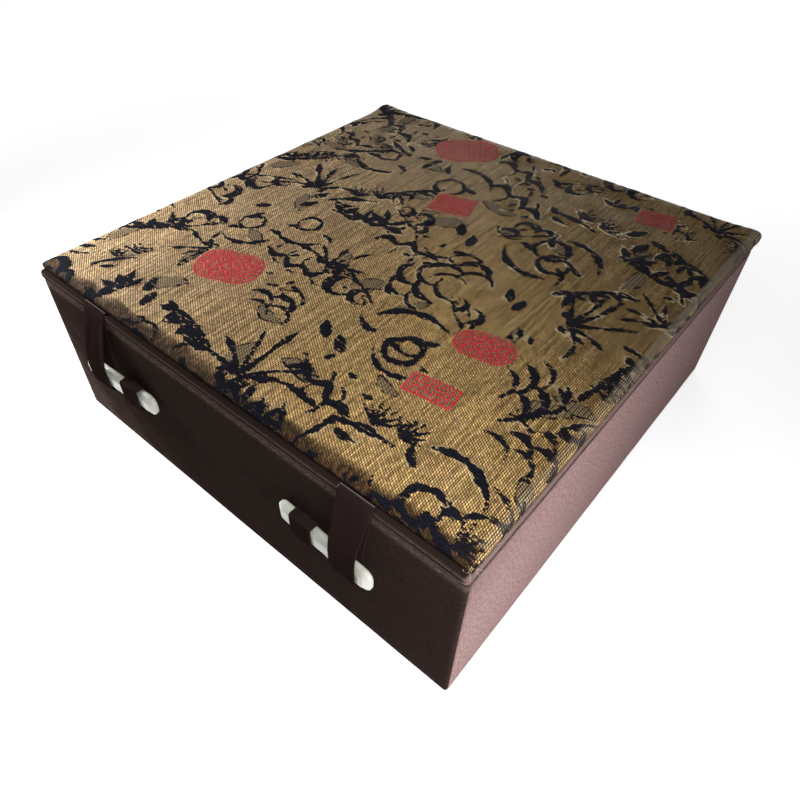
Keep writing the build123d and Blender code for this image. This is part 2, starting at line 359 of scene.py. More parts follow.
def brocade_look(rows, ragged):
    """Gold ground, blue-black brush motifs, striped leaves and red medallions."""
    look, net = new_look("gold_brocade")
    place = net.field("cloth", "Vector")
    across, along, _ = net.split(place)

    def edge(distance, reach, thread=1.4):
        """What lies inside a drawn edge."""
        return net.use(ragged, Place=place, Distance=distance, Reach=reach, Float=thread)["Mask"]

    def threads(gap):
        """How far it is from the middle of an upright thread, as a share of the gap."""
        return abs((across / gap).fract() - 0.5)

    twill = net.join(across, across.scaled(TWILL[0], along * TWILL[1]))
    ground = net.use(rows, Place=twill, Float=THREAD_GAP, Row=1.0, Shift=0.0)
    bead = net.step(ground["Height"], 0.12, 0.8)
    patch = net.noise(place, 0.045, 3.0, 0.6)
    thread = net.mix(patch, (0.66, 0.44, 0.145), (0.8, 0.575, 0.25))
    # Painted sheen: the threads turn paler towards the left side of the lid.
    thread = net.mix(net.step(across, 45.0, -75.0) * 0.75, thread, (0.76, 0.6, 0.39))
    thread = net.mix(ground["Row Luck"] * 0.5, thread, (0.62, 0.38, 0.2))
    # Painted shade: the threads darken towards the back right corner.
    deep = net.step(across + along * 0.7, 15.0, 115.0) * 0.9
    thread = net.mix(deep, thread, (0.42, 0.28, 0.11))
    streaks = net.noise(net.stretched(place, (0.95, 0.045, 1.0)), 1.0, 3.0, 0.6)
    luck = net.between(ground["Luck"], 0.62, 1.3) * net.step(streaks, 0.32, 0.68, 0.58, 1.32)
    thread = net.mix(1.0, thread, net.join(luck, luck, luck), "MULTIPLY")
    gold = net.mix(bead, (0.055, 0.028, 0.012), thread)

    # Near the front edge the weave opens over the roll and shows the dark weft; this darkening is also
    # painted shade where the roll turns away from the light.
    over_edge = net.field("over_edge")
    opened_and_shaded = net.noise(place, 0.35, 3.0, 0.6).scaled(0.8, over_edge.scaled(1.9, -1.0))
    opened_and_shaded = net.step(opened_and_shaded, 0.0, 0.7) * over_edge
    weft_and_shade = net.mix(net.step(ground["Luck"], 0.6, 0.9), (0.014, 0.009, 0.007), (0.07, 0.028, 0.017))
    gold = net.mix(opened_and_shaded * 0.92, gold, weft_and_shade)

    leaf_at = net.field("leaf")
    stripe = net.step(threads(2 * THREAD_GAP), 0.14, 0.3)
    olive = net.mix(stripe, (0.1, 0.075, 0.055), (0.42, 0.33, 0.2))
    olive = net.mix(bead, (0.03, 0.021, 0.013), olive)
    colour = net.mix(edge(leaf_at, 0.7) * 0.85, gold, olive)
    thin = net.between(net.noise(place, 0.14, 2.0), -0.3, 0.75)
    leaf_rim = edge(abs(leaf_at) - thin, 0.5)

    ribs = net.use(rows, Place=place, Float=1.9, Row=0.42, Shift=0.5)
    rib = net.step(ribs["Height"], 0.1, 0.8)
    ink_at = net.field("ink")
    near_ink = ink_at.least(abs(leaf_at) + 0.3)
    # Pale outlines round the motifs: partly pale thread, partly a painted highlight on lit puckered
    # edges, stronger towards the back.
    pale_outline_highlight = edge(near_ink - 0.62, 0.5) * net.step(net.noise(place, 0.09, 2.0), 0.5, 0.6)
    pale_outline_highlight = pale_outline_highlight * net.step(along, -70.0, 50.0, 0.25, 0.9) * (1.0 - over_edge)
    colour = net.mix(pale_outline_highlight, colour, net.mix(ribs["Luck"], (0.5, 0.38, 0.2), (0.92, 0.78, 0.5)))
    navy = net.mix(ribs["Luck"], (0.009, 0.0095, 0.016), (0.019, 0.02, 0.034))
    brush = net.noise(net.stretched(place, (0.22, 1.0, 1.0)), 0.9, 2.0)
    dark = edge(ink_at, 0.62).most(leaf_rim) * (1.0 - net.step(brush, 0.64, 0.7))
    colour = net.mix(dark, colour, net.mix(rib, (0.004, 0.004, 0.006), navy))

    medallion_at = net.field("medallion")
    u, v, kind = net.split(net.field("medallion_place", "Vector"))
    ring = abs(medallion_at + 0.5) - 0.42
    inner = net.between(kind.above(0.5), fret_lines(u, v), scale_lines(net, u, v))
    red_mask = edge(ring.least(inner.most(medallion_at + 1.5)), 0.24, 0.7)
    red = net.mix(ribs["Luck"], (0.78, 0.045, 0.075), (0.9, 0.14, 0.17))
    colour = net.mix(edge(medallion_at, 0.3) * 0.5, colour, (0.13, 0.065, 0.04))
    colour = net.mix(red_mask, colour, net.mix(rib, (0.5, 0.02, 0.034), red))

    gaps = net.step(threads(THREAD_GAP), 0.26, 0.4)
    pulled = gaps * net.step(net.noise(place, 0.16, 2.0), 0.36, 0.55)
    colour = net.mix(pulled * net.field("strain"), colour, (0.03, 0.02, 0.014))
    # Paler bead tops along the right edge: partly worn threads, partly a painted highlight on the
    # edge's roll.
    worn_and_lit = net.field("wear") * net.step(bead, 0.3, 0.8)
    colour = net.mix(worn_and_lit * 0.7, colour, (0.72, 0.63, 0.5))
    # Painted shade: near black at the foot of the brocade, in the seam over the lip.
    colour = net.mix(net.field("tuck"), colour, (0.009, 0.0065, 0.006))

    floats = dark.most(red_mask)
    height = net.between(floats, ground["Height"], ribs["Height"])
    return dress(look, net, Base_Color=colour, Metallic=(1.0 - floats) * 0.025,
                 Roughness=net.between(floats, 0.4, 0.58), Specular_IOR_Level=0.01,
                 Normal=net.bump(floats.scaled(0.9, height), 0.00022, 0.9))


def thin_lines(run, gap=1.8, half=0.47):
    """Distance to lines that lie a gap apart along a run."""
    return abs((run / gap).fract() - 0.5) * gap - half


def fret_lines(u, v, tile=7.2):
    """Nested squares, as in a window lattice."""
    across, along = (abs((run / tile).fract() - 0.5) for run in (u, v))
    return thin_lines(across.most(along) * tile)


def scale_lines(net, u, v, wide=7.2, tall=6.8):
    """Rows of fish-scale arcs, as waves are drawn."""
    arcs = []
    for shift in (0.0, 0.5):
        x, y = (u / wide + shift).fract() - 0.5, (v / tall + shift).fract() - 0.5
        far = net.vector("LENGTH", net.join(x * wide, y * tall))
        arcs.append(thin_lines(far) + far.above(wide / 2) * 9.0)
    return arcs[0].least(arcs[1])


def painted_grazing_sheen(net):
    """A painted sheen of short nap: a share that turns the base colour to lighter lit nap tips where
    the cloth is seen at a grazing angle.
    """
    return net.step(net.make("ShaderNodeLayerWeight", "Facing"), 0.73, 0.84, 0.0, 0.85)


def brown_cloth_look(rows, nap):
    look, net = new_look("brown_book_cloth")
    place = net.field("cloth", "Vector")
    weave = net.use(rows, Place=place, Float=0.5, Row=0.34, Shift=0.5)
    fibres = net.use(nap, Place=place, Fibre=0.5)
    base = net.mix(fibres["Patch"], (0.021, 0.0135, 0.011), (0.031, 0.0205, 0.017))
    base = net.mix(fibres["Mottle"] * 0.3, base, (0.052, 0.036, 0.03))
    base = net.mix(fibres["Fleck"] * 0.4, base, (0.08, 0.055, 0.047))
    # Lighter rubbed fibres along the top rim and the foot of the walls.
    fuzz = net.field("wear") * net.step(net.noise(place, 0.8, 3.0, 0.7), 0.15, 0.65)
    base = net.mix(fuzz * 0.7, base, (0.16, 0.114, 0.094))
    # Painted sheen: lighter mauve nap tips where the wall is seen at a grazing angle.
    lit = net.between(0.45, fibres["Mottle"], fibres["Fleck"])
    painted_sheen = net.mix(lit, (0.26, 0.168, 0.16), (0.54, 0.385, 0.365))
    raised = weave["Height"].scaled(0.3, fibres["Height"])
    return dress(look, net, Base_Color=net.mix(painted_grazing_sheen(net), base, painted_sheen),
                 Roughness=net.between(fibres["Fleck"], 0.74, 0.9), Specular_IOR_Level=0.0,
                 Sheen_Weight=0.015, Sheen_Roughness=0.3, Sheen_Tint=(1.0, 0.8, 0.79),
                 Normal=net.bump(raised, 0.0003, 0.9))


def lip_cloth_look(rows, nap):
    """The same brown cloth pulled hard round the lid's lower board, smooth and a little shiny."""
    look, net = new_look("brown_lip_cloth")
    place = net.field("cloth", "Vector")
    weave = net.use(rows, Place=place, Float=0.42, Row=0.3, Shift=0.5)
    fibres = net.use(nap, Place=place, Fibre=0.5)
    worn_and_lit = net.field("wear")
    base = net.mix(fibres["Patch"], (0.017, 0.011, 0.0095), (0.027, 0.0175, 0.015))
    # Painted highlights on the lip's ridges, and a lighter painted light on its right side.
    base = net.mix(worn_and_lit * net.step(fibres["Height"], 0.3, 0.55), base, (0.09, 0.066, 0.058))
    base = net.mix(net.step(worn_and_lit, 1.1, 1.6, 0.0, 0.6), base, (0.26, 0.175, 0.165))
    # Painted sheen where the lip is seen at a grazing angle.
    painted_sheen = net.mix(fibres["Fleck"], (0.24, 0.165, 0.16), (0.38, 0.27, 0.265))
    raised = weave["Height"].scaled(0.4, fibres["Height"])
    return dress(look, net, Base_Color=net.mix(painted_grazing_sheen(net), base, painted_sheen),
                 Roughness=net.between(fibres["Patch"], 0.4, 0.58), Specular_IOR_Level=0.0,
                 Normal=net.bump(raised, 0.00014, 0.8))


def satin_look(name, dull, bright, rows, gloss=0.36, thread=1.1, shine=0.3, sheen=0.1):
    look, net = new_look(name)
    place = net.field("cloth", "Vector")
    weave = net.use(rows, Place=place, Float=thread, Row=0.16, Shift=0.38)
    patch = net.noise(place, 0.06, 3.0, 0.5)
    line = net.between(weave["Row Luck"], 0.97, 1.03)
    base = net.mix(1.0, net.mix(patch, dull, bright), net.join(line, line, line), "MULTIPLY")
    # Painted highlight where its mask is set: the ribbon's fold.
    base = net.mix(net.field("wear"), base, (0.42, 0.37, 0.44))
    return dress(look, net, Base_Color=base, Specular_IOR_Level=shine, Sheen_Weight=sheen,
                 Roughness=net.between(patch, gloss - 0.05, gloss + 0.07), Sheen_Roughness=0.35,
                 Normal=net.bump(weave["Height"], 0.00006, 0.7))


def bone_look():
    look, net = new_look("pale_bone")
    place = net.object_place()
    cloud = net.noise(place, 90.0, 3.0, 0.5)
    grain = net.noise(net.stretched(place, (60.0, 700.0, 700.0)), 1.0, 3.0, 0.6)
    base = net.mix(cloud, (0.52, 0.545, 0.48), (0.66, 0.685, 0.62))
    base = net.mix(net.step(grain, 0.5, 0.8, 0.0, 0.35), base, (0.42, 0.43, 0.36))
    # Painted highlight along the ridge of the upper bevel.
    base = net.mix(net.field("ridge") * 0.4, base, (0.92, 0.94, 0.88))
    return dress(look, net, Base_Color=base, Roughness=net.between(cloud, 0.2, 0.34),
                 Subsurface_Weight=0.2, Subsurface_Radius=(0.7, 0.8, 0.6), Subsurface_Scale=0.0016,
                 Coat_Weight=0.35, Coat_Roughness=0.12, Normal=net.bump(grain, 0.00004, 0.5))


def board_look(name, light, dark, fleck, rough=0.9):
    """Pulp board or paper with short fibres in it."""
    look, net = new_look(name)
    place = net.object_place()
    pulp = net.noise(place, 900.0, 4.0, 0.6)
    fibre = net.noise(net.stretched(place, (500.0, 2600.0, 2600.0)), 1.0, 2.0, 0.5)
    base = net.mix(net.step(fibre, 0.6, 0.75, 0.0, 0.6), net.mix(pulp, light, dark), fleck)
    return dress(look, net, Base_Color=base, Roughness=net.between(pulp, rough - 0.08, rough),
                 Normal=net.bump(pulp, 0.0001, 0.6))


def wadding_look():
    look, net = new_look("white_wadding")
    tuft = net.noise(net.object_place(), 260.0, 6.0, 0.75)
    return dress(look, net, Base_Color=net.mix(tuft, (0.62, 0.61, 0.57), (0.86, 0.85, 0.82)),
                 Roughness=net.between(tuft, 0.88, 0.98), Sheen_Weight=0.3,
                 Normal=net.bump(tuft, 0.0009, 0.8))


def thread_look(name, first, second):
    look, net = new_look(name)
    place = net.object_place()
    return dress(look, net, Base_Color=net.mix(net.noise(place, 600.0, 2.0), first, second),
                 Roughness=net.between(net.noise(place, 3000.0, 1.0), 0.5, 0.7), Sheen_Weight=0.3)


# Lines and fields

def unit(vector):
    return vector / np.linalg.norm(vector)


def unit_rows(vectors):
    return vectors / np.maximum(np.linalg.norm(vectors, axis=1, keepdims=True), 1e-9)


def plan_of(node):
    """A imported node's sides seen from above: left, right, front and back."""
    low, high = node_box(node)
    return low[0], high[0], low[1], high[1]


def inset_in(plan, places):
    """How far places lie inside the nearest side of a plan."""
    left, right, front, back = plan
    x, y = places[:, 0], places[:, 1]
    return np.minimum.reduce([x - left, right - x, y - front, back - y])


def set_on(centre, level, upright=True):
    """Moves a panel home, face up, or face down where it isn't upright."""
    turn = Matrix.Identity(4) if upright else Matrix.Rotation(math.pi, 4, "X")
    return Matrix.Translation((centre[0], centre[1], level)) @ turn


def moved_home(points, place):
    return points @ np.array(place.to_3x3()).T + np.array(place.translation)


def line_of(start, end, count):
    """Evenly spaced points from the start up to, but without, the end."""
    return [start + (end - start) * k / count for k in range(count)]


def soft_path(corners, bends, pitch):
    """Points along straight runs with rounded corners, about a pitch apart."""
    corners = [np.array(corner, float) for corner in corners]
    path = [corners[0]]

    def run_to(place):
        length = np.linalg.norm(place - path[-1])
        count = max(1, round(length / pitch))
        start = path[-1]
        if length > 1e-6:
            path.extend(start + (place - start) * k / count for k in range(1, count + 1))

    for before, corner, after, bend in zip(corners, corners[1:], corners[2:], bends):
        into, out = unit(corner - before), unit(after - corner)
        turn = math.acos(max(-1.0, min(1.0, float(into @ out))))
        if bend <= 0 or turn < 0.01:
            run_to(corner)
            continue
        cut = bend * math.tan(turn / 2)
        run_to(corner - into * cut)
        side = 1.0 if into[0] * out[1] - into[1] * out[0] > 0 else -1.0
        centre = path[-1] + side * bend * np.array([-into[1], into[0]])
        spoke = path[-1] - centre
        count = max(3, math.ceil(turn / 0.3))
        for k in range(1, count + 1):
            c, s = math.cos(side * turn * k / count), math.sin(side * turn * k / count)
            x, y = c * spoke[0] - s * spoke[1], s * spoke[0] + c * spoke[1]
            path.append(centre + np.array([x, y]))
    run_to(corners[-1])
    return np.array(path)


def smooth_trail(knots, count):
    """A smooth run of points through the knots, whose rows are places and widths."""
    knots = np.array(knots, float)
    knots = np.concatenate([[2 * knots[0] - knots[1]], knots, [2 * knots[-1] - knots[-2]]])
    spans = len(knots) - 3
    trail = []
    for s in np.linspace(0, spans - 1e-9, count):
        k, t = int(s), s - int(s)
        a, b, c, d = knots[k:k + 4]
        trail.append(0.5 * (2 * b + (c - a) * t + (2 * a - 5 * b + 4 * c - d) * t ** 2
                            + (3 * b - a - 3 * c + d) * t ** 3))
    return np.array(trail)


def ripple(places, size, seed, waves=14):
    """A smooth random swell over the places, mostly between -1 and 1, about size long."""
    luck = np.random.default_rng(seed)
    total = np.zeros(len(places))
    for _ in range(waves):
        heading = luck.normal(size=places.shape[1])
        heading /= np.linalg.norm(heading) * size * luck.uniform(0.7, 1.6)
        total += np.cos(2 * math.pi * places @ heading + luck.uniform(0, 2 * math.pi))
    return total / math.sqrt(waves)


def smoothstep(value, low, high):
    t = np.clip((value - low) / (high - low), 0, 1)
    return t * t * (3 - 2 * t)


def press_stroke(field, places, trail):
    """Lowers a field of distances to a brush stroke: trail rows are x, y and half width."""
    reach = trail[:, 2].max() + 4
    low, high = trail[:, :2].min(0) - reach, trail[:, :2].max(0) + reach
    near = np.flatnonzero((places >= low).all(1) & (places <= high).all(1))
    if not len(near):
        return
    spots = places[near]
    best = field[near]
    for start, end in zip(trail, trail[1:]):
        run = end[:2] - start[:2]
        share = np.clip((spots - start[:2]) @ run / max(run @ run, 1e-9), 0, 1)
        gap = np.linalg.norm(spots - start[:2] - share[:, None] * run, axis=1)
        best = np.minimum(best, gap - start[2] - share * (end[2] - start[2]))
    field[near] = best


# Motifs of the brocade. Each gives strokes as knots of x, y and half width, for a motif about
# one unit large that is later turned, sized and put in its place.

def stroke(x, y, angle, length, bend, wide, press=(0.55, 1.0, 0.62, 0.14)):
    """One brush stroke that turns as it goes. press gives the brush's weight along it."""
    knots = [(x, y, press[0] * wide)]
    for weight in press[1:]:
        angle += bend / (len(press) - 1)
        x += length / (len(press) - 1) * math.cos(angle)
        y += length / (len(press) - 1) * math.sin(angle)
        knots.append((x, y, weight * wide))
    return knots


def cloud_scroll(luck):
    curl = stroke(-0.3, 0.3, -0.6, 2.1, luck.uniform(6.5, 8.0), 0.07,
                  (0.3, 1.0, 0.8, 1.1, 0.6, 0.9, 0.4))
    tail = stroke(-0.72, -0.1, -0.9, 1.35, 1.7, 0.085, (0.25, 0.6, 1.1, 0.7, 1.0, 0.3))
    dabs = [stroke(0.3, 0.42, 0.2, 0.5, -1.2, 0.08), stroke(-0.7, 0.25, 0.9, 0.3, -1.4, 0.09)]
    return [curl, tail] + dabs


def bamboo_leaves(luck):
    stem = stroke(-0.55, -0.45, 0.75, 1.3, -0.35, 0.045, (0.9, 0.55, 1.2, 0.55, 1.1, 0.5, 0.9))
    strokes = [stem]
    for k in (1, 3, 5):
        x, y, _ = stem[k]
        for turn in np.linspace(-2.5, -0.2, luck.integers(3, 5)):
            angle, length = turn + luck.uniform(-0.2, 0.2), luck.uniform(0.34, 0.56)
            bend, wide = luck.uniform(-0.4, 0.4), luck.uniform(0.06, 0.095)
            strokes.append(stroke(x, y, angle, length, bend, wide, (0.15, 0.9, 1.0, 0.1)))
    return strokes


def orchid_blades(luck):
    strokes = []
    for k in range(6):
        lean = -0.95 + 0.38 * k + luck.uniform(-0.15, 0.15)
        length = luck.uniform(0.75, 1.25)
        bend, wide = -lean * luck.uniform(0.7, 1.5), luck.uniform(0.05, 0.09)
        strokes.append(stroke(0.03 * k - 0.08, -0.5, math.pi / 2 - lean, length, bend, wide,
                              (0.5, 0.9, 0.45, 1.0, 0.12)))
    for x, y in ((-0.34, -0.48), (0.3, -0.46), (0.05, -0.62)):
        strokes.append(stroke(x, y, luck.uniform(-0.5, 0.5), 0.2, 0.8, 0.075))
    return strokes


def pine_fan(luck):
    strokes = [stroke(-0.6, -0.3, 0.5, 1.0, -0.5, 0.09, (0.8, 0.6, 1.1, 0.5, 0.3))]
    for x, y, first in ((-0.12, -0.02, 0.5), (0.3, 0.06, 0.1)):
        for k in range(7):
            needle = luck.uniform(0.34, 0.48)
            strokes.append(stroke(x, y, first + 0.32 * k, needle, 0.25, 0.034, (0.6, 1.0, 0.3)))
    strokes.append(stroke(-0.4, -0.42, -0.4, 0.36, 0.7, 0.08))
    return strokes


def old_branch(luck):
    trunk = [(-0.7, 0.26, 0.05), (-0.46, 0.36, 0.1), (-0.24, 0.12, 0.055), (0.04, 0.17, 0.095),
             (0.16, -0.12, 0.06), (0.42, -0.14, 0.1), (0.64, -0.4, 0.03)]
    strokes = [trunk]
    for k, side in ((1, 1), (2, -1), (3, 1), (4, -1), (5, 1)):
        x, y, _ = trunk[k]
        angle, length = side * luck.uniform(0.9, 1.7), luck.uniform(0.28, 0.44)
        strokes.append(stroke(x, y, angle, length, side * 0.9, 0.045, (1.0, 0.5, 0.9, 0.3)))
        bud = luck.uniform(-1, 1)
        strokes.append(stroke(x + 0.2, y + side * 0.34, bud, 0.1, 0.5, 0.06, (0.9, 1.0, 0.7)))
    return strokes


def wave_crests(luck):
    strokes = []
    for level, wide in ((0.3, 0.05), (0.02, 0.085), (-0.27, 0.06)):
        x = -0.66 + luck.uniform(-0.1, 0.15)
        strokes.append(stroke(x, level, 0.9, 0.75, -1.9, wide, (0.3, 1.0, 0.7, 0.5)))
        strokes.append(stroke(x + 0.52, level + 0.02, 1.0, 0.85, -2.6, wide, (0.3, 1.1, 0.8, 0.9, 0.3)))
    strokes.append(stroke(-0.1, 0.48, 0.2, 0.3, -0.9, 0.06))
    return strokes


def stone_pile(luck):
    strokes = []
    for x, y, size in ((-0.42, -0.22, 0.32), (0.0, 0.0, 0.42), (0.4, -0.2, 0.3)):
        strokes.append(stroke(x - 0.5 * size, y, 1.9, 2.2 * size, -3.6, 0.26 * size,
                              (0.2, 0.5, 1.0, 1.2, 0.4)))
        strokes.append(stroke(x - 0.1, y - 0.14 * size, -0.3, 0.5 * size, 0.5, 0.1 * size,
                              (0.5, 1.0, 0.3)))
    strokes.append(stroke(-0.62, -0.36, -0.1, 1.3, 0.3, 0.05, (0.3, 1.0, 0.5, 1.1, 0.3)))
    return strokes


def rain_drops(luck):
    strokes = []
    for x, y in ((-0.28, 0.12), (0.04, -0.14), (0.34, 0.16))[: luck.integers(2, 4)]:
        angle, bend = -1.5 + luck.uniform(-0.3, 0.3), luck.uniform(-0.4, 0.4)
        strokes.append(stroke(x, y + 0.18, angle, 0.36, bend, 0.11, (0.2, 0.8, 1.0, 0.5)))
    return strokes


MOTIFS = (cloud_scroll, bamboo_leaves, orchid_blades, old_branch, wave_crests, pine_fan,
          stone_pile, rain_drops)
LEAST_STROKE = 0.42


def put_strokes(field, places, strokes, centre, size, turn):
    c, s = math.cos(turn), math.sin(turn)
    for knots in strokes:
        trail = smooth_trail(knots, 5 * len(knots))
        x, y = trail[:, 0] * c - trail[:, 1] * s, trail[:, 0] * s + trail[:, 1] * c
        wide = np.maximum(trail[:, 2] * size * 0.88, LEAST_STROKE)
        trail = np.column_stack([centre[0] + size * x, centre[1] + size * y, wide])
        press_stroke(field, places, trail)


# Medallions by centre, half sizes, corner radius, turn and kind of filling: 0 lattice, 1 scales

MEDALLIONS = (
    (-42.5, -56.0, 13.5, 9.5, 8.0, 0.35, 1),
    (-33.0, 84.5, 15.0, 11.5, 9.5, 0.6, 0),
    (-6.5, 37.0, 9.0, 7.5, 0.8, 0.25, 1),
    (64.0, 83.5, 7.5, 6.0, 0.6, 0.2, 0),
    (56.0, -31.5, 10.8, 6.8, 6.5, 0.2, 1),
    (55.2, -58.8, 8.8, 4.6, 0.5, 0.12, 0),
)


FAR = 6.0
MOTIF_PITCH, MOTIF_ROW = 26.0, 0.78


def medallion_fields(places):
    """Distances to the medallions, and each point's place and kind within its medallion."""
    far, own = np.full(len(places), FAR), np.zeros((len(places), 3))
    for x, y, wide, tall, corner, turn, kind in MEDALLIONS:
        c, s = math.cos(turn), math.sin(turn)
        dx, dy = places[:, 0] - x, places[:, 1] - y
        u, v = dx * c + dy * s, dy * c - dx * s
        over_x, over_y = np.abs(u) - wide + corner, np.abs(v) - tall + corner
        gap = np.hypot(np.maximum(over_x, 0), np.maximum(over_y, 0))
        gap = gap + np.minimum(np.maximum(over_x, over_y), 0) - corner
        near = gap < 4
        own[near] = np.column_stack([u, v, np.full(len(places), kind)])[near]
        far = np.minimum(far, gap)
    return far, own


def brocade_fields(places):
    """Distances on the cloth to ink, striped leaves and medallions, and the medallions' places."""
    luck = np.random.default_rng(29)
    ink, leaf = np.full(len(places), FAR), np.full(len(places), FAR)
    medallion, medallion_place = medallion_fields(places)
    kind = 0
    for row in range(-9, 9):
        for column in range(-5, 6):
            x = (column + (row % 2) / 2) * MOTIF_PITCH + luck.uniform(-4, 4)
            y = row * MOTIF_PITCH * MOTIF_ROW + luck.uniform(-4, 4)
            turn = luck.uniform(-0.9, 0.9) + math.pi * (luck.random() < 0.35)
            size = luck.uniform(16, 23)
            kind = (kind + luck.integers(1, 4)) % len(MOTIFS)
            strokes = MOTIFS[kind](luck)
            pod = stroke(luck.uniform(-0.3, 0.3), luck.uniform(-0.5, 0.3), luck.uniform(0, 6), 0.7,
                         luck.uniform(-1, 1), luck.uniform(0.12, 0.18), (0.3, 1.0, 0.9, 0.2))
            clear = min(math.hypot(x - m[0], y - m[1]) - max(m[2], m[3]) for m in MEDALLIONS)
            if clear > 2.5:
                size = min(size, 9 + clear)
                put_strokes(ink, places, strokes, (x, y), size, turn)
                if luck.random() < 0.55:
                    put_strokes(leaf, places, [pod], (x, y), size, turn)
    ink = ink + 0.2 * ripple(places, 2.4, 12) + 0.12 * ripple(places, 1.3, 13)
    leaf = leaf + 0.2 * ripple(places, 3.0, 14)
    leaf = np.maximum(leaf, 0.8 - medallion)
    ink = np.maximum(ink, 0.5 - medallion)
    return ink, leaf, medallion, medallion_place


# Cloth pieces

class Pattern:
    """A cloth piece as it is cut: laid points, and their places on the flat cloth."""

    def __init__(self):
        self.rows, self.flat, self.patches, self.count = [], [], [], 0

    def lay(self, points, places):
        points, places = np.asarray(points, float), np.asarray(places, float)
        shape = points.shape[:-1]
        index = self.count + np.arange(math.prod(shape)).reshape(shape)
        self.rows.append(points.reshape(-1, 3))
        self.flat.append(places.reshape(-1, 2))
        self.count += index.size
        return index

    def cover(self, index, steps=(1, 1)):
        """A patch of faces over laid points. Its inner side keeps every so many rows and columns."""
        self.patches.append((index, steps))

    def points(self):
        return np.concatenate(self.rows)

    def places(self):
        return np.concatenate(self.flat)


def quads(index):
    corners = [index[:-1, :-1], index[1:, :-1], index[1:, 1:], index[:-1, 1:]]
    return np.stack(corners, -1).reshape(-1, 4)


def outward(points, faces):
    a, b, c, d = (points[faces[:, k]] for k in range(4))
    face = np.cross(c - a, d - b)
    total = np.zeros_like(points)
    for axis in range(3):
        for k in range(4):
            total[:, axis] += np.bincount(faces[:, k], face[:, axis], len(points))
    return total / np.maximum(np.linalg.norm(total, axis=1, keepdims=True), 1e-9)


def close_up(points, patches, inner):
    """A closed cloth from its outer side: an inner side, and edges that join the two."""
    outer = np.concatenate([quads(index) for index, _ in patches])
    coarse = np.concatenate([quads(index[::r, ::c]) for index, (r, c) in patches])
    used = np.unique(coarse)
    lined = np.full(len(points), -1)
    lined[used] = len(points) + np.arange(len(used))
    edges = np.concatenate([outer[:, [k, (k + 1) % 4]] for k in range(4)])
    ahead = edges[:, 0] * len(points) + edges[:, 1]
    back = edges[:, 1] * len(points) + edges[:, 0]
    after = dict(edges[~np.isin(ahead, back)].tolist())
    rim = []
    while after:
        node = next(n for n in after if lined[n] >= 0)
        held = lined[node]
        while node in after:
            ahead = after.pop(node)
            rim.append((ahead, node, held))
            if lined[ahead] >= 0:
                rim.append((ahead, held, lined[ahead]))
                held = lined[ahead]
            node = ahead
    faces = outer.tolist() + lined[coarse][:, ::-1].tolist()
    faces += [tuple(int(n) for n in face) for face in rim]
    return np.concatenate([points, inner(used)]), faces, used


def new_piece(name, points, faces, body, look, nodes=()):
    mesh = bpy.data.meshes.new(name)
    mesh.from_pydata((np.asarray(points) * MM).tolist(), [], faces)
    mesh.shade_smooth()
    mesh.materials.append(look)
    piece = bpy.data.objects.new(name, mesh)
    bpy.context.scene.collection.objects.link(piece)
    if body:
        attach(piece, body)
    if nodes:
        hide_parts(*nodes)
    return piece


def give_fields(piece, used, **fields):
    """Numbers or places held by each point of the outer side, copied to the inner side."""
    for name, values in fields.items():
        values = np.concatenate([values, values[used]]).astype(np.float32)
        if values.ndim == 2 and values.shape[1] == 2:
            values = np.column_stack([values, np.zeros(len(values), np.float32)])
        kind, item = ("FLOAT", "value") if values.ndim == 1 else ("FLOAT_VECTOR", "vector")
        layer = piece.data.attributes.new(name, kind, "POINT")
        layer.data.foreach_set(item, values.ravel())


def sew(name, pattern, thickness, body, look, slot, nodes, swell, place=None, **fields):
    """Makes a cloth piece from its pattern. swell lifts its outer side, place moves it home."""
    points, places = pattern.points(), pattern.places()
    faces = np.concatenate([quads(index) for index, _ in pattern.patches])
    outer = points + outward(points, faces) * swell[:, None]
    facing = outward(outer, faces)
    points, faces, used = close_up(
        outer, pattern.patches, lambda kept: outer[kept] - facing[kept] * thickness)
    if place is not None:
        points = moved_home(points, place)
    piece = new_piece(name, points, faces, body, look, nodes)
    fields.setdefault("wear", np.zeros(len(places)))
    give_fields(piece, used, cloth=places, **fields)
    return piece


def panel_lines(low, high, roll, fall, count, roll_rows):
    """Grid lines across a panel and their places on the flat cloth, which follows the roll."""
    turns = np.linspace(0, math.pi / 2, roll_rows + 1)
    insets = roll * (1 - np.cos(turns))
    drops = fall * (1 - np.sin(turns))
    arcs = np.concatenate([[0], np.cumsum(np.hypot(np.diff(insets), np.diff(drops)))])
    flat_insets = roll - arcs[-1] + arcs
    middle = np.linspace(low + roll, high - roll, count - 2 * roll_rows + 1)
    lines = np.concatenate([low + insets[:-1], middle, high - insets[:-1][::-1]])
    flat = np.concatenate([low + flat_insets[:-1], middle, high - flat_insets[:-1][::-1]])
    return lines, flat


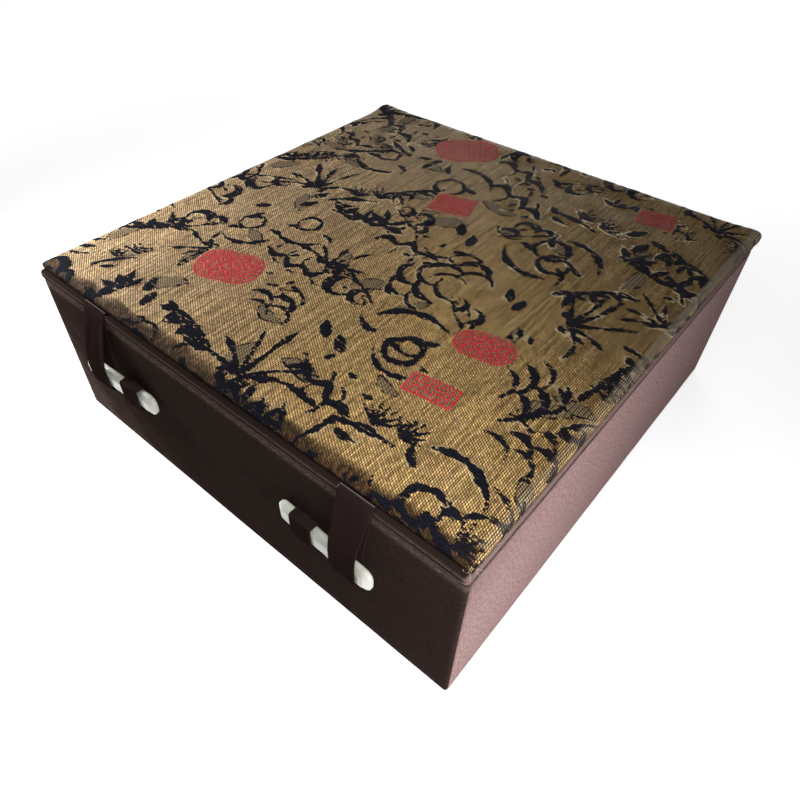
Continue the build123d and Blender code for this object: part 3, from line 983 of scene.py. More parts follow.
def lay_panel(pattern, plan, counts, roll, fall, corner, roll_rows=8):
    """The face of a padded panel, level at zero, with edges that roll down. Gives its edge loop."""
    left, right, front, back = plan
    xs, flat_xs = panel_lines(left, right, roll, fall, counts[0], roll_rows)
    ys, flat_ys = panel_lines(front, back, roll, fall, counts[1], roll_rows)
    x, y = np.meshgrid(xs, ys, indexing="ij")
    inset_x, inset_y = np.minimum(x - left, right - x), np.minimum(y - front, back - y)
    drops = []
    for inset in (inset_x, inset_y):
        share = np.clip(inset / roll, 0, 1)
        drops.append(fall * (1 - np.sqrt(1 - (1 - share) ** 2)))
    z = -(drops[0] ** 3 + drops[1] ** 3) ** (1 / 3)
    flat = np.stack(np.meshgrid(flat_xs, flat_ys, indexing="ij"), -1)
    over_x, over_y = np.maximum(corner - inset_x, 0), np.maximum(corner - inset_y, 0)
    size = np.hypot(over_x, over_y)
    pull = np.where(size > 0, np.maximum(over_x, over_y) / np.maximum(size, 1e-9), 1.0)
    sign_x, sign_y = np.sign(x - (left + right) / 2), np.sign(y - (front + back) / 2)
    x = x - sign_x * over_x * (1 - pull) * (over_y > 0)
    y = y - sign_y * over_y * (1 - pull) * (over_x > 0)
    index = pattern.lay(np.stack([x, y, z], -1), flat)
    loop = np.concatenate([index[:-1, 0], index[-1, :-1], index[:0:-1, -1], index[0, :0:-1]])
    away_x = np.where((over_x > 0) & (over_y > 0), over_x, (inset_x <= 0) * 1.0) * sign_x
    away_y = np.where((over_x > 0) & (over_y > 0), over_y, (inset_y <= 0) * 1.0) * sign_y
    away = np.stack([away_x, away_y], -1).reshape(-1, 2)[loop - index[0, 0]]
    away /= np.linalg.norm(away, axis=1, keepdims=True)
    return index, loop, away


def lay_rings(pattern, loop, away, levels):
    """Rows of cloth that go on from an edge loop, each at an outset, a share and a height.

    The share mixes the loop's own height with the given one.
    """
    points, places = pattern.points()[loop], pattern.places()[loop]
    rows = [loop]
    length, before, level = 0.0, 0.0, points[:, 2].mean()
    for outset, share, height in levels:
        ring = points.copy()
        ring[:, :2] += away * outset
        ring[:, 2] = points[:, 2] * (1 - share) + height * share
        length += math.hypot(outset - before, float(ring[:, 2].mean() - level))
        before, level = outset, ring[:, 2].mean()
        rows.append(pattern.lay(ring, places + away * length))
    return np.array(rows)


def lay_turn_in(pattern, last, insets, height, plan):
    """Rows that turn in under a panel, drawn towards its middle."""
    left, right, front, back = plan
    middle = np.array([(left + right) / 2, (front + back) / 2])
    size = np.array([right - left, back - front])
    points, places = pattern.points()[last], pattern.places()[last]
    rows = [last]
    for inset, rise in insets:
        ring = points.copy()
        ring[:, :2] = middle + (points[:, :2] - middle) * (1 - 2 * inset / size)
        ring[:, 2] = height + rise
        rows.append(pattern.lay(ring, places + unit_rows(points[:, :2] - middle) * inset))
    return np.array(rows)


def wrap_round(rows):
    """A ring of rows with its first column again at the end."""
    return np.concatenate([rows, rows[:, :1]], axis=1)


def covered_panel(name, plan, counts, roll, fall, corner, depth, turned, place, body, look, node,
                  puff, crease, seed):
    """A panel in stretched cloth: face, sides and turn-ins. puff crowns it, crease puckers it."""
    pattern = Pattern()
    index, loop, away = lay_panel(pattern, plan, counts, roll, fall, corner)
    pattern.cover(index, (2, 2))
    foot = -depth + 0.4
    sides = lay_rings(pattern, loop, away, [(0.0, 0.5, foot), (0.0, 1.0, foot)])
    insets = [(0.15, 0.12), (0.5, 0.0), (turned / 2, 0.0), (turned, 0.0)]
    under = lay_turn_in(pattern, sides[-1], insets, -depth, plan)
    pattern.cover(wrap_round(np.concatenate([sides, under[1:]])), (2, 2))
    points, places = pattern.points(), pattern.places()
    left, right, front, back = plan
    x, y = places[:, 0], places[:, 1]
    inset_x, inset_y = np.minimum(x - left, right - x), np.minimum(y - front, back - y)
    inset = np.minimum(inset_x, inset_y)
    crown = smoothstep(inset, 0, 0.3 * (right - left))
    gathers = ripple(np.where(inset_x < inset_y, y, x)[:, None], 7.0, seed + 5)
    gathers = gathers * np.exp(-np.maximum(inset, 0) / 9) * smoothstep(inset, -1, 2)
    swell = puff * crown + crease * gathers + crease * 0.6 * ripple(places, 26, seed) * crown
    swell = np.where(points[:, 2] < -depth + 0.5, 0, swell)
    piece = sew(name, pattern, 0.3, body, look, "lining_satin", (node,), swell, place)
    return piece


# The lid's brocade, one cloth from its front turn-in over the pad and down the back wall

PAD_TURN_IN, PAD_CLOTH = 14.0, 0.45
PAD_COUNT, FLAP_ROWS = 256, 88
BACK_CORNER_PUFFS = (0.5, 0.6)


def back_flap(pattern, edge, last_level):
    """The cloth that runs on from a piece of the pad's edge, straight down the back wall."""
    points, places = pattern.points()[edge], pattern.places()[edge]
    rows = [edge]
    for k in range(1, FLAP_ROWS + 1):
        row, flat = points.copy(), places.copy()
        row[:, 2] = points[:, 2] + (last_level - points[:, 2]) * k / FLAP_ROWS
        flat[:, 1] += points[:, 2] - row[:, 2]
        rows.append(pattern.lay(row, flat))
    return np.array(rows)


def pad_swell(points, places, plan, bottom, ink, leaf, medallion, strain):
    """How far the brocade stands out: the pad's crown, its ripples, and the woven motifs."""
    left, right, front, back = plan
    inset = inset_in(plan, places)
    on_top = smoothstep(inset, 0.5, 8)
    swell = 0.5 * smoothstep(inset, 0, 60) * on_top
    swell = swell + 0.13 * ripple(places, 17, 3) * on_top + 0.05 * ripple(places, 5, 4) * on_top
    raised = 0.2 * smoothstep(-ink, -0.5, 0.7) + 0.14 * smoothstep(-leaf, -0.5, 0.8)
    raised = raised + 0.12 * smoothstep(-medallion, -0.4, 0.6)
    tucked = -0.16 * np.exp(-((ink - 1.1) / 0.7) ** 2) - 0.1 * np.exp(-((leaf - 1.1) / 0.8) ** 2)
    swell = swell + (raised + tucked) * smoothstep(inset, -1, 3)
    swell = swell + 0.045 * strain * ripple(places * [1.0, 0.07], 3.4, 8)
    for puff, corner in zip(BACK_CORNER_PUFFS, (left + 3, right - 1.5)):
        rear = np.hypot(places[:, 0] - corner, places[:, 1] - back + 1.5)
        swell = swell + puff * np.exp(-(rear / 7) ** 2)
    at_back = np.exp(-(np.maximum(back - places[:, 1], 0) / 8) ** 2)
    swell = swell + 0.9 * at_back * smoothstep(places[:, 1], back + 4, back + 1)
    outside = (points[:, 2] > bottom + 0.2) | (places[:, 1] > back)
    return np.where(outside, swell, 0)


def brocade_cover(look):
    plan = left, right, front, back = plan_of("lid_brocade")
    high = node_box("lid_brocade")[1][2]
    flap_low, flap_high = node_box("back_brocade")
    bottom = node_box("lid_liner_cloth")[1][2] - high
    pattern = Pattern()
    index, loop, away = lay_panel(pattern, plan, (PAD_COUNT, PAD_COUNT), 5.0, 1.6, 0.6)
    pattern.cover(index, (4, 4))
    foot = bottom + 0.25
    sides = lay_rings(pattern, loop, away, [(0.0, s, foot) for s in (0.3, 0.6, 0.85, 1.0)])
    pattern.cover(wrap_round(sides), (4, 4))

    x = pattern.points()[loop, 0]
    held = [k for k in range(2 * PAD_COUNT, 3 * PAD_COUNT, 4) if flap_low[0] <= x[k] <= flap_high[0]]
    first, last = held[0], held[-1]
    edge = sides[-1]
    pattern.cover(back_flap(pattern, edge[first:last + 1], flap_low[2] - high), (4, 4))
    around = np.concatenate([edge[last:], edge[:first + 1]])
    insets = [(0.25, -0.2), (1.0, -0.25), (PAD_TURN_IN / 2, -0.25), (PAD_TURN_IN, -0.25)]
    pattern.cover(lay_turn_in(pattern, around, insets, foot, plan), (4, 4))

    points, places = pattern.points(), pattern.places()
    ink, leaf, medallion, medallion_place = brocade_fields(places)
    side, y = right - places[:, 0], places[:, 1]
    strain = np.exp(-(np.maximum(side, 0) / 9) ** 1.5) * (y < back)
    swell = pad_swell(points, places, plan, bottom, ink, leaf, medallion, strain)
    # Paler band along the right edge: partly wear, partly painted highlight.
    wear = smoothstep(side, 3.2, 2.2) * smoothstep(side, -0.2, 0.4)
    wear = wear * (0.35 + 0.65 * smoothstep(y, -60, 60)) * (y > front + 6) * (y < back)
    # Towards the front edge, in the front half: opened weave, and painted shade on the roll.
    over_edge = smoothstep(y - front + 1.2 * ripple(places, 13, 15), 7.6, 2.0)
    over_edge = over_edge * (y < 0) * smoothstep(side, -1, 2.5)
    # Painted shade in the seam where the brocade meets the lip.
    tuck = smoothstep(points[:, 2], bottom + 1.5, bottom + 0.6) * (y < back)
    piece = sew("brocade_cover", pattern, PAD_CLOTH, None, look, "brocade",
                ("lid_brocade", "back_brocade"), swell, Matrix.Translation((0, 0, high)),
                ink=ink, leaf=leaf, medallion=medallion, medallion_place=medallion_place,
                wear=wear, strain=strain, over_edge=over_edge, tuck=tuck)
    y = back * MM
    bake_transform(piece)
    return piece


# The brown cloths of the case and of the lid's lower board

CASE_COUNT, CORNER_COUNT = 124, 6
BROWN_CLOTH, WALL = 0.5, 4.0
CASE_TURN_IN = 14.0


def quarter_arcs(plan, radius):
    """Corner arcs of a plan, from the back left one on round the front."""
    left, right, front, back = plan
    arcs = []
    for x, y, first in ((left + radius, back - radius, 90), (left + radius, front + radius, 180),
                        (right - radius, front + radius, -90), (right - radius, back - radius, 0)):
        turns = [math.radians(first + 90 * k / CORNER_COUNT) for k in range(CORNER_COUNT + 1)]
        arcs.append([np.array([x + radius * math.cos(a), y + radius * math.sin(a)]) for a in turns])
    return arcs


def case_cover(look):
    """The cloth swept round the case, from a seam in the middle of its back."""
    low, high = node_box("case_cloth")
    left, right, front, back = plan_of("case_cloth")
    section = soft_path(
        [(WALL, high[2] - 14.5), (WALL, high[2]), (0, high[2]), (0, low[2]), (CASE_TURN_IN, low[2])],
        [0.5, 0.5, 0.45], 1.5,
    )
    pattern = Pattern()
    rows, length, before = [], 0.0, section[0]
    half = CASE_COUNT // 2
    for inset, height in section:
        ring = (left + inset, right - inset, front + inset, back - inset)
        seam = np.array([(left + right) / 2, back - inset])
        path, start = [], seam
        arcs = quarter_arcs(ring, max(1.3 - inset, 0.3))
        for arc, count in zip(arcs, (half, CASE_COUNT, CASE_COUNT, CASE_COUNT)):
            path += line_of(start, arc[0], count) + arc[:-1]
            start = arc[-1]
        path = np.array(path + line_of(start, seam, half) + [seam])
        length += math.hypot(inset - before[0], height - before[1])
        before = (inset, height)
        if not rows:
            runs = np.concatenate([[0], np.cumsum(np.linalg.norm(np.diff(path, axis=0), axis=1))])
        points = np.column_stack([path, np.full(len(path), height)])
        rows.append(pattern.lay(points, np.column_stack([runs, np.full(len(path), length)])))
    pattern.cover(np.array(rows), (1, 4))
    points = pattern.points()
    swell = 0.02 * ripple(points, 22, 11) + 0.4 * 0.02 * ripple(points, 6, 12)
    # Lighter rubbed fibres along the top rim and the foot.
    rim = np.exp(-(np.maximum(high[2] - points[:, 2] - 1.2, 0) / 1.1) ** 2)
    foot = 0.5 * np.exp(-np.maximum(points[:, 2] - low[2], 0) / 1.2)
    outer = inset_in((left, right, front, back), points)
    wear = np.clip(rim + foot, 0, 1) * (outer < 4.5)
    piece = sew("case_cover", pattern, BROWN_CLOTH, "case", look, "brown_cloth", ("case_cloth",),
                swell, wear=wear)
    return piece


def lip_cover(look):
    """The cloth round the lid's lower board, laid face down, with a groove round its edge."""
    low, high = node_box("lid_liner_cloth")
    half, turned = (high[1] - low[1]) / 2, 14.0
    pattern = Pattern()
    plan = (low[0], high[0], -half, half)
    index, loop, away = lay_panel(pattern, plan, (176, 176), 0.9, 0.9, 1.5, 4)
    pattern.cover(index, (4, 4))
    depth = high[2] - low[2]
    shares = (0.14, 0.27, 0.38, 0.47, 0.53, 0.62, 0.73, 0.86, 1.0)
    outsets = (0.14, 0.2, 0.1, -0.22, -0.22, 0.1, 0.2, 0.14, 0.0)
    levels = [(outset, share, -depth + 0.9) for outset, share in zip(outsets, shares)]
    sides = lay_rings(pattern, loop, away, levels)
    insets = [(0.07, 0.55), (0.26, 0.26), (0.55, 0.07), (0.9, 0.0), (4.0, 0.0), (9.0, 0.0),
              (turned, 0.0)]
    under = lay_turn_in(pattern, sides[-1], insets, -depth, plan)
    pattern.cover(wrap_round(np.concatenate([sides, under[1:]])), (4, 4))
    points = pattern.points()
    x, y, z = points.T
    swell = 0.03 * ripple(points, 14, 21) + 0.02 * ripple(points, 4, 22)
    under_ribbon = smoothstep(np.abs(np.abs(x) - RIBBON_AT), 7.4, 6.2)
    under_ribbon = under_ribbon * smoothstep(y, half - 2.5, half - 1.2)
    swell = swell - 0.6 * under_ribbon * smoothstep(z, -0.9, -2.2)
    # Painted highlights along the two ridges of the lip's sides; 1.6 on the right side marks a lighter
    # painted light there.
    wear = 0.35 * np.exp(-((z + 1.3) / 0.25) ** 2) + np.exp(-((z + 2.75) / 0.4) ** 2)
    wear = wear * (inset_in(plan, points) < 0.6)
    wear = np.where(x > high[0] - 1.0, 1.6, wear)
    piece = sew("lip_cover", pattern, BROWN_CLOTH, "lid", look, "brown_cloth", ("lid_liner_cloth",),
                swell, set_on((0, (low[1] + high[1]) / 2), low[2], False), wear=wear)
    return piece


# Bands: ribbons, straps and the strip in the hinge

def lay_band(path, across, lean=lambda x, y, z: 0):
    """Rows along a path in depth and height, as wide as the places across say."""
    pattern = Pattern()
    steps = np.concatenate([[0], np.cumsum(np.linalg.norm(np.diff(path, axis=0), axis=1))])
    rows = []
    for (y, z), run in zip(path, steps):
        x = across(z)
        depth = np.broadcast_to(y + lean(x, y, z), x.shape)
        points = np.column_stack([x, depth, np.full(len(x), z)])
        rows.append(pattern.lay(points, np.column_stack([x, np.full(len(x), run)])))
    pattern.cover(np.array(rows))
    return pattern, steps[-1]


def hinge_band(look):
    low, high = node_box("hinge_strip")
    thickness = 0.2
    fold, drop = high[1] - thickness / 2, low[1] + 8.95
    upper, lower = high[2] - 0.1, high[2] - 0.4
    path = soft_path(
        [(low[1] + 0.9, upper), (fold, upper), (fold, lower), (drop, lower), (drop, low[2])],
        [0.12, 0.12, 0.2], 0.9,
    )
    path[:, 0] = np.minimum(path[:, 0], fold)
    columns = np.linspace(low[0], high[0], 121)
    pattern, length = lay_band(path, lambda z: columns)
    swell = 0.03 * ripple(pattern.places(), 9, 31)
    piece = sew("hinge_band", pattern, thickness, None, look, "lining_satin", ("hinge_strip",), swell)
    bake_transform(piece)
    return piece


# Clasps. The toggles lean out from the wall, and the straps and ribbons lean with them. The
# toggles are trimmed and moved a little from their solids, to their outline in the photograph.

FRONT_WALL = plan_of("case_cloth")[2]
TOGGLE_AT, TOGGLE_LEVEL = 52.6, 42.7
TOGGLE_LONG, TOGGLE_TALL, TOGGLE_THICK = 42.5, 9.0, 3.0
TOGGLE_TRIM, TOGGLE_OUT, TOGGLE_IN, TOGGLE_DOWN = 2.2, 0.15, 0.02, 0.2
TOGGLE_STANDOFF, TOGGLE_LEAN = 4.15, 2.1
STRAP_AT, STRAP_WIDE, STRAP_CUT, STRAP_CLOTH = 44.525, 9.5, 10.0, 0.45
RIBBON_AT, RIBBON_WIDE, RIBBON_CLOTH = 62.5, 11.5, 0.25


def toggle_stands_off(across):
    """How far the toggle's middle plane is from the wall."""
    return TOGGLE_STANDOFF + TOGGLE_LEAN * (np.abs(across) - TOGGLE_AT) / TOGGLE_LONG


def bar_ring(length, width, radius, inset, count=14):
    """An outline of a rounded bar, drawn in by an inset."""
    half_long, half_wide = length / 2 - inset, width / 2 - inset
    bend = max(min(radius - inset, half_wide - 0.02), 0.05)
    spots = []
    for sx, sy, first in ((1, -1, -90), (1, 1, 0), (-1, 1, 90), (-1, -1, 180)):
        cx, cy = sx * (half_long - bend), sy * (half_wide - bend)
        for k in range(count + 1):
            angle = math.radians(first + 90 * k / count)
            spots.append(np.array([cx + bend * math.cos(angle), cy + bend * math.sin(angle)]))
    dense = []
    for a, b in zip(spots, spots[1:] + spots[:1]):
        dense += line_of(a, b, 26 if abs(a[0] - b[0]) > 6 else 1)
    return np.array(dense)


def closed_tube(rings):
    """Faces of a skin over rings of points, with a cap on both ends."""
    index = np.arange(rings.shape[0] * rings.shape[1]).reshape(rings.shape[:2])
    faces = quads(np.concatenate([index, index[:, :1]], axis=1))[:, ::-1].tolist()
    return faces + [index[0][::-1].tolist(), index[-1].tolist()]


def toggle(name, side, look):
    length = TOGGLE_LONG - TOGGLE_TRIM
    back, front = -TOGGLE_THICK / 2, TOGGLE_THICK / 2
    section = soft_path(
        [(4.2, back), (0.5, back), (0, back + 0.5), (0, front - 1.3), (2.3, front), (4.2, front)],
        [0.25, 0.3, 0.3, 0.12], 0.55,
    )
    outlines = [bar_ring(length, TOGGLE_TALL, 3.4, inset) for inset, _ in section]
    rings = np.array([np.column_stack([line, np.full(len(line), level)])
                      for line, (_, level) in zip(outlines, section)])
    faces = closed_tube(rings)
    points = rings.reshape(-1, 3)
    wobble = 0.05 * ripple(points, 9, 41 + side) + 0.03 * ripple(points, 3.5, 43 + side)
    points[:, 2] += wobble * (points[:, 2] > 0)
    points[:, 1] += 0.05 * ripple(points[:, :1], 14, 45 + side)
    turn = Matrix.Rotation(-side * math.asin(TOGGLE_LEAN / TOGGLE_LONG), 4, "Z")
    home = (side * (TOGGLE_AT + TOGGLE_OUT), FRONT_WALL - TOGGLE_STANDOFF + TOGGLE_IN,
            TOGGLE_LEVEL - TOGGLE_DOWN)
    place = Matrix.Translation(home) @ turn @ Matrix.Rotation(math.pi / 2, 4, "X")
    points = moved_home(points, place)
    piece = new_piece(name, points, faces, name, look, (name,))
    insets, levels = np.repeat(section, rings.shape[1], axis=0).T
    upper = np.tile(outlines[0][:, 1] > 0.5, len(section))
    # Mask of the painted highlight on the upper bevel's ridge.
    ridge = np.exp(-((insets - 2.25) / 0.3) ** 2) * (levels > 0) * upper
    give_fields(piece, np.arange(0), ridge=ridge)
    return piece


def lean_with_toggle(at, share_at):
    """Leans a band out with its toggle, by a share that changes along the band."""
    def lean(x, y, z):
        return -(toggle_stands_off(x) - toggle_stands_off(at)) * share_at(y, z)

    return lean


def strap(name, side, look):
    cloth = 0.25
    reach = TOGGLE_THICK / 2 + 0.3 + cloth
    rise = TOGGLE_TALL / 2 + 0.3 + cloth
    inside = FRONT_WALL + WALL + 0.25
    middle = FRONT_WALL - toggle_stands_off(STRAP_AT)
    upper = [(inside, 8.0), (inside, cloth), (middle + reach, cloth), (middle + reach, rise),
             (middle - reach, rise)]
    corners = [(y, TOGGLE_LEVEL + z) for y, z in upper + [(y, -z) for y, z in upper[::-1]]]
    path = soft_path(corners, [0.3, 0.3, 0.9, 0.9, 0.9, 0.9, 0.3, 0.3], 0.6)
    columns = side * STRAP_AT + np.linspace(-STRAP_WIDE / 2, STRAP_WIDE / 2, 21)
    lean = lean_with_toggle(STRAP_AT, lambda y, z: smoothstep(FRONT_WALL + 0.5 - y, 0, 2))
    pattern, length = lay_band(path, lambda z: columns, lean)
    x, run = pattern.places().T
    crease = ripple(np.column_stack([x, run * 0.25]), 3.2, 51 + side)
    shape = 0.14 * crease + 0.12 * np.exp(-((x - side * STRAP_AT) / 3.4) ** 2)
    piece = sew(name + "_band", pattern, STRAP_CLOTH, "case", look, "ribbon", (name,), shape)
    return piece


def ribbon(name, side, look):
    """A ribbon loop: out of the lid's seam, down over the lip, round the toggle and back up."""
    lip = node_box("lid_liner_cloth")
    seam, lip_front, lip_low = lip[1][2], lip[0][1], lip[0][2]
    gap = TOGGLE_THICK / 2 + 0.35 + RIBBON_CLOTH / 2
    middle = FRONT_WALL - toggle_stands_off(RIBBON_AT)
    before, behind = middle - gap, middle + gap
    low, high = TOGGLE_LEVEL - 4.975, TOGGLE_LEVEL + 7.975
    fold, over, under = lip_front + 1.2, lip_front - 0.62, lip_front - 0.3
    fold_high, tail = seam + 0.95, lip_front + 11.0
    corners = [
        (tail, seam + 0.02), (fold + 0.25, seam + 0.05), (fold, fold_high), (over, seam - 1.7),
        (before, high), (before, low), (behind, low), (behind, high), (under, lip_low),
        (under, seam - 1.9), (fold + 0.35, seam - 0.3), (tail, seam - 0.35),
    ]
    path = soft_path(corners, [0.2, 0.22, 1.4, 30.0, 1.3, 1.3, 12.0, 1.0, 1.0, 0.3], 0.6)

    def across(z):
        share = smoothstep(np.array(z), high, seam - 1)
        wide = RIBBON_WIDE - 0.5 + 1.5 * share
        return side * (RIBBON_AT + 0.25 * share) + np.linspace(-wide / 2, wide / 2, 27)

    lean = lean_with_toggle(RIBBON_AT, lambda y, z: smoothstep(np.array(z), seam - 4, high))
    pattern, length = lay_band(path, across, lean)
    x, run = pattern.places().T
    z = pattern.points()[:, 2]
    # Painted highlight along the fold at the top of the ribbon's outer layer.
    fold_highlight = smoothstep(z, fold_high - 0.42, fold_high - 0.12) * (run < 14)
    hanging = smoothstep(z, lip_low + 1, lip_low - 4) * smoothstep(z, low, low + 5)
    folds = ripple(np.column_stack([x, run * 0.12]), 6.5, 61 + side)
    from_middle = (x - side * RIBBON_AT) / 5.5
    shape = hanging * (0.1 * folds + 0.3 * (from_middle ** 2 - 0.5)) + 0.02 * folds
    piece = sew(name + "_band", pattern, RIBBON_CLOTH, "lid", look, "ribbon", (name,), shape,
                wear=fold_highlight)
    return piece


# Linings, pads and the sheet under the base

def fit_panel(name, node, counts, roll, fall, corner, turned, body, look, facing, puff,
              crease, seed):
    """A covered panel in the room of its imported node, facing up, down or inward from a wall."""
    low, high = node_box(node)
    size, centre = high - low, (high + low) / 2
    if facing in ("up", "down"):
        wide, deep, depth = size
        place = set_on(centre, high[2] if facing == "up" else low[2], facing == "up")
    else:
        quarters, axis, near = {"front": (0, 1, high), "right": (1, 0, low), "back": (2, 1, low),
                                "left": (-1, 0, high)}[facing]
        wide, deep, depth = size[1 - axis], size[2], size[axis]
        home = centre.copy()
        home[axis] = near[axis]
        stand = Matrix.Rotation(quarters * math.pi / 2, 4, "Z") @ Matrix.Rotation(-math.pi / 2, 4, "X")
        place = Matrix.Translation(home) @ stand
    plan = (-wide / 2, wide / 2, -deep / 2, deep / 2)
    return covered_panel(name, plan, counts, roll, fall, corner, depth, turned, place, body, look,
                         node, puff, crease, seed)


def wadding(name, node, body, look, roll, fall, corner, up=True):
    """The soft layer inside a panel, a closed pad with rolled edges."""
    low, high = node_box(node)
    size, centre = high - low, (high + low) / 2
    plan = (-size[0] / 2, size[0] / 2, -size[1] / 2, size[1] / 2)
    pattern = Pattern()
    index, _, _ = lay_panel(pattern, plan, (96, 96), roll, min(fall, size[2] * 0.9), corner)
    pattern.cover(index)
    points, places = pattern.points(), pattern.places()
    points[:, 2] += (0.06 * ripple(places, 6, 71) - 0.35) * smoothstep(inset_in(plan, places), -0.7, 5)

    def bottom(kept):
        return points[kept] * [1, 1, 0] - [0, 0, size[2]]

    closed, faces, _ = close_up(points, pattern.patches, bottom)
    closed = moved_home(closed, set_on(centre, high[2] if up else low[2], up))
    piece = new_piece(name, closed, faces, body, look, (node,))
    return piece


def base_sheet(look):
    low, high = node_box("base_cover")
    pattern = Pattern()
    half_x, half_y = (high[0] - low[0]) / 2, (high[1] - low[1]) / 2
    plan = (-half_x, half_x, -half_y, half_y)
    index, _, _ = lay_panel(pattern, plan, (96, 96), 0.3, 0.12, 1.0, 2)
    pattern.cover(index)
    swell = np.minimum(0, 0.03 * ripple(pattern.places(), 20, 81) - 0.03)
    place = set_on((0, (low[1] + high[1]) / 2), low[2], False)
    piece = sew("base_sheet", pattern, 0.3, "case", look, "base_paper", ("base_cover",), swell, place)
    return piece


# Loose threads along the brocade's edges, and brushed fibres on the case's rim

def tube(points, radius, sides=5):
    """A thin closed tube along a run of points, thinner towards its end."""
    points = np.asarray(points, float)
    ahead = np.gradient(points, axis=0)
    ahead /= np.linalg.norm(ahead, axis=1, keepdims=True)
    side = unit_rows(np.cross(ahead, [0.3, 0.2, 0.93]))
    lift = np.cross(side, ahead)
    thin = radius * (1 - 0.7 * np.linspace(0, 1, len(points)) ** 2)
    turns = 2 * math.pi * np.arange(sides) / sides
    spokes = side[:, None] * np.cos(turns)[:, None] + lift[:, None] * np.sin(turns)[:, None]
    rings = points[:, None] + spokes * thin[:, None, None]
    faces = [face[::-1] for face in closed_tube(rings)]
    return rings.reshape(-1, 3), faces


def many_tubes(name, runs, radius, body, look):
    points, faces, count = [], [], 0
    for run in runs:
        spots, skin = tube(run, radius)
        faces += [[n + count for n in face] for face in skin]
        points.append(spots)
        count += len(spots)
    return new_piece(name, np.concatenate(points), faces, body, look)


def thread_run(start, way, length, bend, count):
    """A run that sets off straight and bends more the further it goes."""
    return [start + way * length * s + bend * s * s for s in np.linspace(0, 1, count)]


def frayed_threads(gold, dark):
    luck = np.random.default_rng(5)
    low, high = node_box("lid_brocade")
    seam = node_box("lid_liner_cloth")[1][2]
    corner = np.array([high[0] - 1.0, low[1] + 1.0, seam + 0.6])
    light_runs, dark_runs = [], []
    for k in range(34):
        start = corner + luck.uniform(-1, 1, 3) * [1.6, 1.6, 0.7]
        out, along, up = luck.uniform(-0.2, 1.0), luck.uniform(-0.8, 0.8), luck.uniform(-0.2, 0.6)
        bend = luck.normal(size=3) * [1.0, 1.0, 0.6]
        run = thread_run(start, unit(np.array([out, along, up])), luck.uniform(0.5, 1.5), bend, 8)
        (dark_runs if k % 3 == 0 else light_runs).append(run)
    for k in range(44):
        y = luck.uniform(low[1] + 2, high[1] - 6)
        start = np.array([high[0] - 0.25, y, seam + luck.uniform(0.2, 1.6)])
        out, along, up = luck.uniform(0.1, 0.8), luck.uniform(-1, 1) * 2.2, luck.uniform(-0.5, 0.4)
        bend = luck.normal(size=3) * 0.35
        run = thread_run(start, unit(np.array([out, along, up])), luck.uniform(0.6, 1.6), bend, 7)
        for spot in run:
            spot[0] = max(spot[0], high[0] + 0.02)
        (dark_runs if luck.random() < 0.35 else light_runs).append(run)
    many_tubes("frayed_gold_threads", light_runs, 0.07, "lid", gold)
    many_tubes("frayed_dark_threads", dark_runs, 0.07, "lid", dark)


def rim_fuzz(look):
    """Short brushed fibres that stand out along the top of the front and right walls."""
    luck = np.random.default_rng(17)
    low, high = node_box("case_cloth")
    runs = []
    for k in range(420):
        along, drop = luck.uniform(0.02, 0.98), luck.uniform(0.3, 1.5)
        x, y = low[0] + along * (high[0] - low[0]), low[1] + along * (high[1] - low[1])
        if k % 3:
            start = np.array([x, low[1] - 0.02, high[2] - drop])
            out = np.array([luck.normal() * 0.8, -1.0, 0.3])
        else:
            start = np.array([high[0] + 0.02, y, high[2] - drop])
            out = np.array([1.0, luck.normal() * 0.8, 0.3])
        length, droop = luck.uniform(0.3, 0.75), luck.uniform(-0.2, 0.5)
        fall = np.array([0, 0, -droop * length])
        runs.append(thread_run(start, unit(out), length, fall, 5))
    many_tubes("rim_fuzz", runs, 0.045, "case", look)


# Put together

rows, ragged, nap = weave_group(), ragged_group(), nap_group()
brocade = brocade_look(rows, ragged)
brown_cloth = brown_cloth_look(rows, nap)
lip_cloth = lip_cloth_look(rows, nap)
lining = satin_look("gold_lining_satin", (0.4, 0.24, 0.06), (0.52, 0.33, 0.1), rows)
ribbon_satin = satin_look("dark_ribbon_satin", (0.019, 0.0115, 0.0105), (0.029, 0.018, 0.0165), rows,
                          0.42, 0.8, 0.0, 0.0)
bone = bone_look()
greyboard = board_look("grey_pulp_board", (0.36, 0.32, 0.26), (0.25, 0.22, 0.18), (0.5, 0.46, 0.4))
base_paper = board_look("dark_base_paper", (0.03, 0.021, 0.018), (0.02, 0.014, 0.012),
                        (0.06, 0.045, 0.04), 0.82)
soft_white = wadding_look()

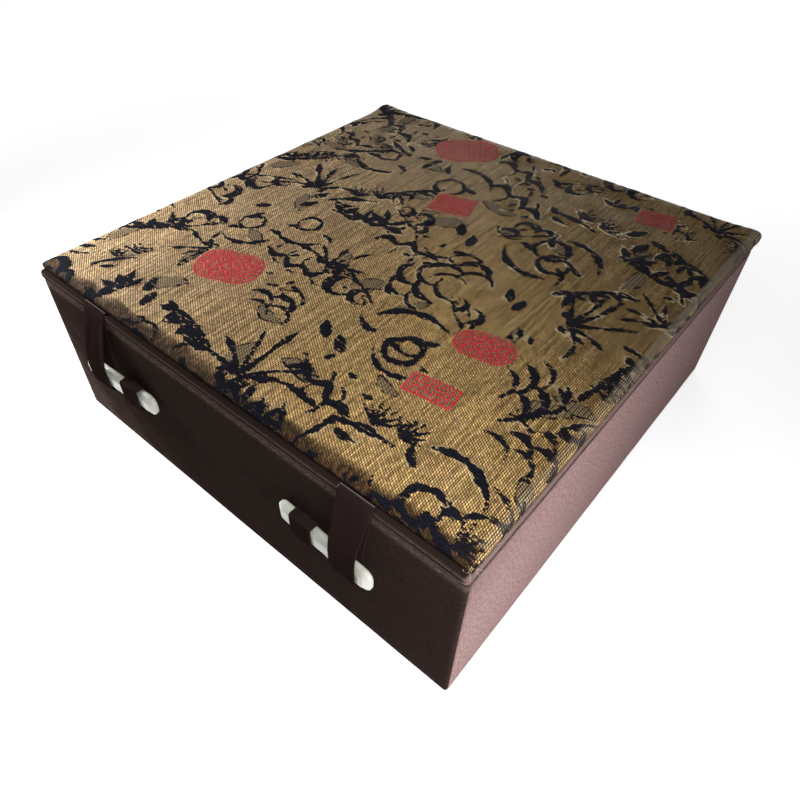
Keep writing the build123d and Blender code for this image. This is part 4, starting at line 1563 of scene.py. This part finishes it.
set_camera()
set_surround()
add_floor()
for name, place, aim, size, power, shade in (
    ("left_window", (-0.2, -0.118, 0.145), (-0.08, -0.06, 0.07), (0.07, 0.07), 0.66, (1, 0.97, 0.94)),
    ("near_window", (0.1, -0.125, 0.155), (0.065, -0.07, 0.07), (0.05, 0.05), 0.105, (1, 0.97, 0.93)),
    ("side_window", (0.26, -0.135, 0.06), (0.1, -0.07, 0.035), (0.08, 0.05), 0.44, (1, 0.96, 0.98)),
    ("back_window", (-0.16, 0.42, 0.1), (0.0, 0.1, 0.035), (0.3, 0.1), 0.65, (1, 1, 1)),
):
    add_lamp(name, place, aim, size, power, shade)

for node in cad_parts.values():
    slots = node.material_slots
    if slots:
        slots[0].material = greyboard

brocade_cover(brocade)
case_cover(brown_cloth)
lip_cover(lip_cloth)
hinge_band(lining)
base_sheet(base_paper)
fit_panel("floor_pad", "floor_satin", (128, 128), 14.0, 3.2, 3.0, 14.0, "case",
          lining, "up", 1.6, 0.35, 101)
fit_panel("lid_pad", "lid_lining_satin", (112, 112), 3.0, 1.0, 3.0, 14.0, "lid",
          lining, "down", 0.5, 0.12, 102)
for k, side in enumerate(("front", "back", "left", "right")):
    fit_panel("wall_lining_" + side, "lining_satin_" + side, (112, 48),
              0.7, 0.5, 0.5, 8.0, "case", lining, side, 0.0, 0.05, 110 + k)
wadding("floor_filling", "floor_wadding", "case", soft_white, 14.0, 3.2, 3.0)
wadding("lid_lining_filling", "lid_lining_wadding", "lid", soft_white, 3.0, 0.5, 3.0, False)
wadding("lid_filling", "lid_wadding", "lid", soft_white, 5.5, 1.0, 1.2)
for side, name in ((-1, "left"), (1, "right")):
    toggle("toggle_" + name, side, bone)
    strap("toggle_strap_" + name, side, ribbon_satin)
    ribbon("ribbon_loop_" + name, side, ribbon_satin)
frayed_threads(
    thread_look("gold_thread", (0.34, 0.26, 0.16), (0.5, 0.42, 0.33)),
    thread_look("dark_thread", (0.02, 0.018, 0.02), (0.1, 0.08, 0.08)),
)
rim_fuzz(thread_look("brown_fuzz", (0.07, 0.05, 0.042), (0.2, 0.15, 0.13)))

view = bpy.context.scene.view_settings
view.view_transform = "Standard"
size = {"cad": [list(c) for c in cad_box], "visual": [list(c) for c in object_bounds()]}
